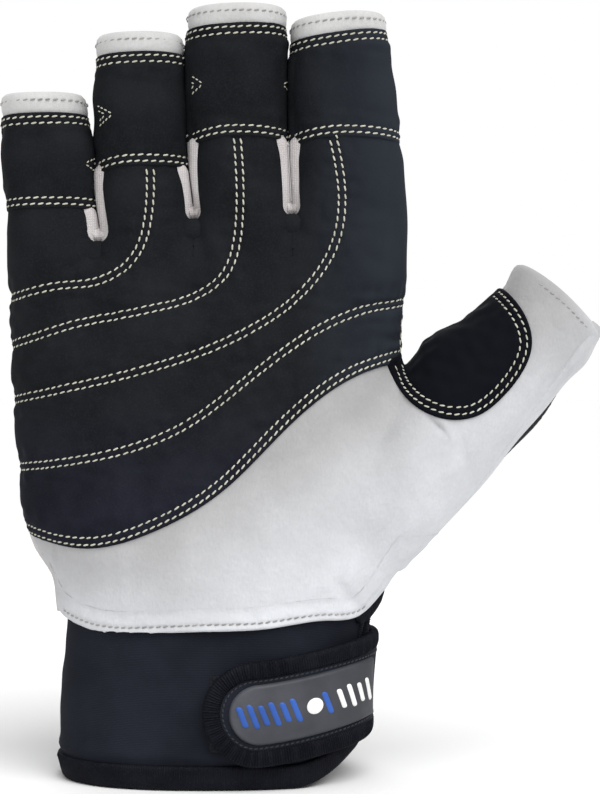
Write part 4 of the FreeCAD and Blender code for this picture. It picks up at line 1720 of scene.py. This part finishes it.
def strap_plate(name, inset, low, high, material, body, nodes, foot=STRAP_FOOT, tip=STRAP_TIP,
                half=STRAP_HALF, dome=0.0, edge=0.6):
    """A flat or gently domed layer of the strap with rounded edges."""
    radius, centre = half - inset, tip - half
    across = np.sin(np.linspace(-math.pi / 2, math.pi / 2, 36)) * radius
    top, under = [], []
    for t in across:
        end = centre + math.sqrt(max(radius ** 2 - t ** 2, 0))
        share = np.linspace(0, 1, 110) ** 0.9
        s = foot + (end - foot) * share
        gap = np.minimum(radius - np.hypot(np.clip(s - centre, 0, None), t), s - foot)
        rise = low + edge_profile(gap, high - low, edge, 0.02)
        rise += dome * (1 - (t / radius) ** 2) * ease(gap, 0, 4)
        top.append(on_strap(s, t, rise)[0])
        under.append(on_strap(s, t, low)[0])
    points, faces = slab(np.array(top), np.array(under))
    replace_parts(make_object(name, points, faces, material, body, 60), *nodes)


WEB_TOP, BADGE_TOP, BAR_FOOT = 3.0, 4.1, 3.6   # heights off the cuff
strap_plate("strap_web", 1.6, 1.0, WEB_TOP, NEOPRENE, STRAP_BLEND,
            ["strap_band", "strap_anchor"])
outline = strap_outline(2.2)
points, normals = on_strap(outline[:, 0], outline[:, 1], 2.5 - 0.9 * bell(outline[:, 0], 9))
along = unit(np.gradient(points, axis=0))
rows = ribbed(points, normals, np.cross(along, normals), 4.4, 2.9, 0.10)
grid_object("strap_ribbed_edge", rows, TAPE, STRAP_BLEND, ["strap_edge"],
            loop_columns=True, caps=True)
strap_plate("strap_hooks", 3.2, 0.55, 1.05, HOOK, "strap", ["strap_hook_pad"], foot=16.0)
badge_tip = STRAP_TIP - 6.4
strap_plate("strap_badge_face", 0.0, WEB_TOP, BADGE_TOP, BADGE, "strap", ["strap_badge"],
            foot=5.0, tip=badge_tip, half=7.4, dome=0.25, edge=0.9)

# Plain bars on the badge: where along the strap each one's middle is, and half its length.
blue_bars = [(badge_tip - 3.1 - 2.5 * k, 2.7 + 0.5 * (k % 2)) for k in range(6)] + [(20.9, 3.0)]
white_bars = [(17.2 - 2.9 * k, 2.7 + 0.5 * (k % 2)) for k in range(4)]
t, s = (v.ravel() for v in np.meshgrid(np.linspace(-1, 1, 19), np.linspace(-1, 1, 7), indexing="ij"))
round_end = np.sqrt(np.clip(1 - np.clip((np.abs(t) - 0.72) / 0.28, 0, 1) ** 2, 0.03, 1))
lift = BADGE_TOP + 0.45 * np.sqrt(np.clip(1 - np.abs(s) ** 3, 0, 1)) * round_end
for label, paint, places in (("blue", BLUE, blue_bars), ("white", WHITE, white_bars)):
    points, faces = [], []
    for at, reach in places:
        place = at + 0.85 * s * round_end + 0.28 * t * reach
        top, under = (on_strap(place, t * reach, h)[0].reshape(19, 7, 3) for h in (lift, BAR_FOOT))
        bar, sides = slab(top, under)
        faces += [tuple(len(points) + i for i in f) for f in sides]
        points += bar.tolist()
    make_object("badge_bars_" + label, points, faces, paint, "strap", 50)

turn = closed_turn(36)
disc = [on_strap(24.1 + r * np.cos(turn), r * np.sin(turn), h)[0]
        for r, h in ((0.02, 4.75), (1.0, 4.72), (1.6, 4.66), (1.95, 4.5), (2.0, 4.0), (0.02, 4.0))]
grid_object("badge_disc", disc, WHITE, "strap", loop_columns=True, caps=True,
            smooth_angle=50)

sewn = Stitching("strap_stitches", BLACK_THREAD, "thread_cream", 0.95, 1.25, 0.34, 0.3)
outline = strap_outline(4.9, foot=-27.0, spacing=0.4)
path = on_strap(outline[:, 0], outline[:, 1], 0.0)[0]
sewn.row(path, WEB_TOP, STRAP_BLEND, CUFF.distance)
box = resampled([(-27, -7.5), (-27, 7.5), (-13, 7.5), (-13, -7.5), (-27, -7.5), (-13, 7.5)], 0.4)
sewn.row(on_strap(box[:, 0], box[:, 1], 0.0)[0], WEB_TOP, "hand", CUFF.distance)
sewn.make()


# ---------------------------------------------------------------- tonal stitching on the back

tonal = Stitching("back_stitches", BLACK_THREAD, "thread_cream", 1.5, 2.1, 0.42, 0.40)
for web in WEBS:
    middle = float(web.line(SPLIT))
    for shift in (-1.7, 1.7):
        line = smooth_line([(middle * (1 - BACK_SEAM_LEAN * 41) + shift, 92), (middle + shift, 128)])
        tonal.row(on_back(line), 0.10, "hand")
for height in (43.4, 45.2):
    line = smooth_line([(-34, height), (0, height - 0.4), (33, height)])
    tonal.row(on_back(line), 0.10, "hand")
tonal.make()

# Short bar tacks shaped like arrowheads, where the finger wraps are sewn at their sides:
# finger, side, where the arrow's tip and open end show, height and steepness.
ARROWS = [(0, 1, -33.9, -31.4, 157.2, 0.65), (1, -1, -26.2, -30.2, 169.5, 0.65),
          (2, -1, -3.6, -6.6, 177.3, 0.85), (2, 1, 16.8, 18.0, 177.7, 0.9)]
tacks = Stitching("arrow_tacks", CREAM, "thread_cream", 0.95, 1.2, 0.36, 0.32)
for index, side, tip_x, open_x, height, slope in ARROWS:
    finger, field = FINGERS[index], finger_field(index)
    centre = finger_centre(finger, height)
    turn = np.radians(np.linspace(-90, -12, 80) if side > 0 else np.linspace(-90, -168, 80))
    ring = around(field, centre, turn, height)
    slopes = gradient(field, ring)[1]
    shown = side * (ring[:, 0] + 1.6 * slopes[:, 0] / np.linalg.norm(slopes, axis=1))
    last = int(np.argmax(shown))
    for nested in (0.0, 1.9):
        start = side * tip_x + nested
        if side * open_x - start < 0.8:
            continue
        spread = np.linspace(start + 0.15, side * open_x, 14)
        angles = np.interp(spread, shown[:last], turn[:last])
        for half in (-1, 1):
            path = around(field, centre, angles, height + half * (0.15 + slope * (spread - start)))
            tacks.row(path, BAND_THICKNESS[index], finger_blend(index), field, phase=-0.1)
tacks.make()


# ---------------------------------------------------------------- stage

cream.make()

bpy.context.scene.view_settings.view_transform = "Standard"
world = bpy.data.worlds.new("studio")
bpy.context.scene.world = world
world.use_nodes = True
sky = world.node_tree
light_sky = sky.nodes["Background"]
light_sky.inputs["Color"].default_value = (1, 1, 1, 1)
light_sky.inputs["Strength"].default_value = 0.52
seen_sky = sky.nodes.new("ShaderNodeBackground")
seen_sky.inputs["Color"].default_value = (1, 1, 1, 1)
seen_sky.inputs["Strength"].default_value = 1.0
rays = sky.nodes.new("ShaderNodeLightPath")
both = sky.nodes.new("ShaderNodeMixShader")
sky.links.new(rays.outputs["Is Camera Ray"], both.inputs[0])
sky.links.new(light_sky.outputs[0], both.inputs[1])
sky.links.new(seen_sky.outputs[0], both.inputs[2])
sky.links.new(both.outputs[0], sky.nodes["World Output"].inputs["Surface"])

floor_mesh = bpy.data.meshes.new("floor")
floor_mesh.from_pydata([(-30, -30, 0), (30, -30, 0), (30, 30, 0), (-30, 30, 0)], [], [(0, 1, 2, 3)])
floor = add_object("floor", floor_mesh)
floor_paint = Paint("floor", 0.9, specular=0.2)
floor_paint.colour((0.86, 0.86, 0.86))
floor_mesh.materials.append(floor_paint.material)


def area_light(name, place, size, energy):
    """A soft light, in metres, turned to the middle of the glove."""
    light = add_object(name, bpy.data.lights.new(name, "AREA"))
    light.data.size = size
    light.data.energy = energy
    light.location = place
    light.rotation_euler = (Vector((0.02, 0, 0.10)) - light.location).to_track_quat("-Z", "Y").to_euler()


area_light("fill", (-0.60, -0.45, 0.35), 0.60, 0.7)
area_light("rim", (-0.10, 0.60, 0.55), 0.50, 1.2)
sun = add_object("sun", bpy.data.lights.new("sun", "SUN"))
sun.data.energy = 2.7
sun.data.angle = math.radians(50)
sun.rotation_euler = Vector((-0.38, 0.60, -0.90)).to_track_quat("-Z", "Y").to_euler()

camera = add_object("camera", bpy.data.cameras.new("camera"))
camera.location = (0.0213, -0.5, 0.0976)
camera.rotation_euler = (math.pi / 2, 0, 0)
camera.data.lens = 87
camera.data.sensor_width = 36
camera.data.clip_start = 0.01
bpy.context.scene.camera = camera
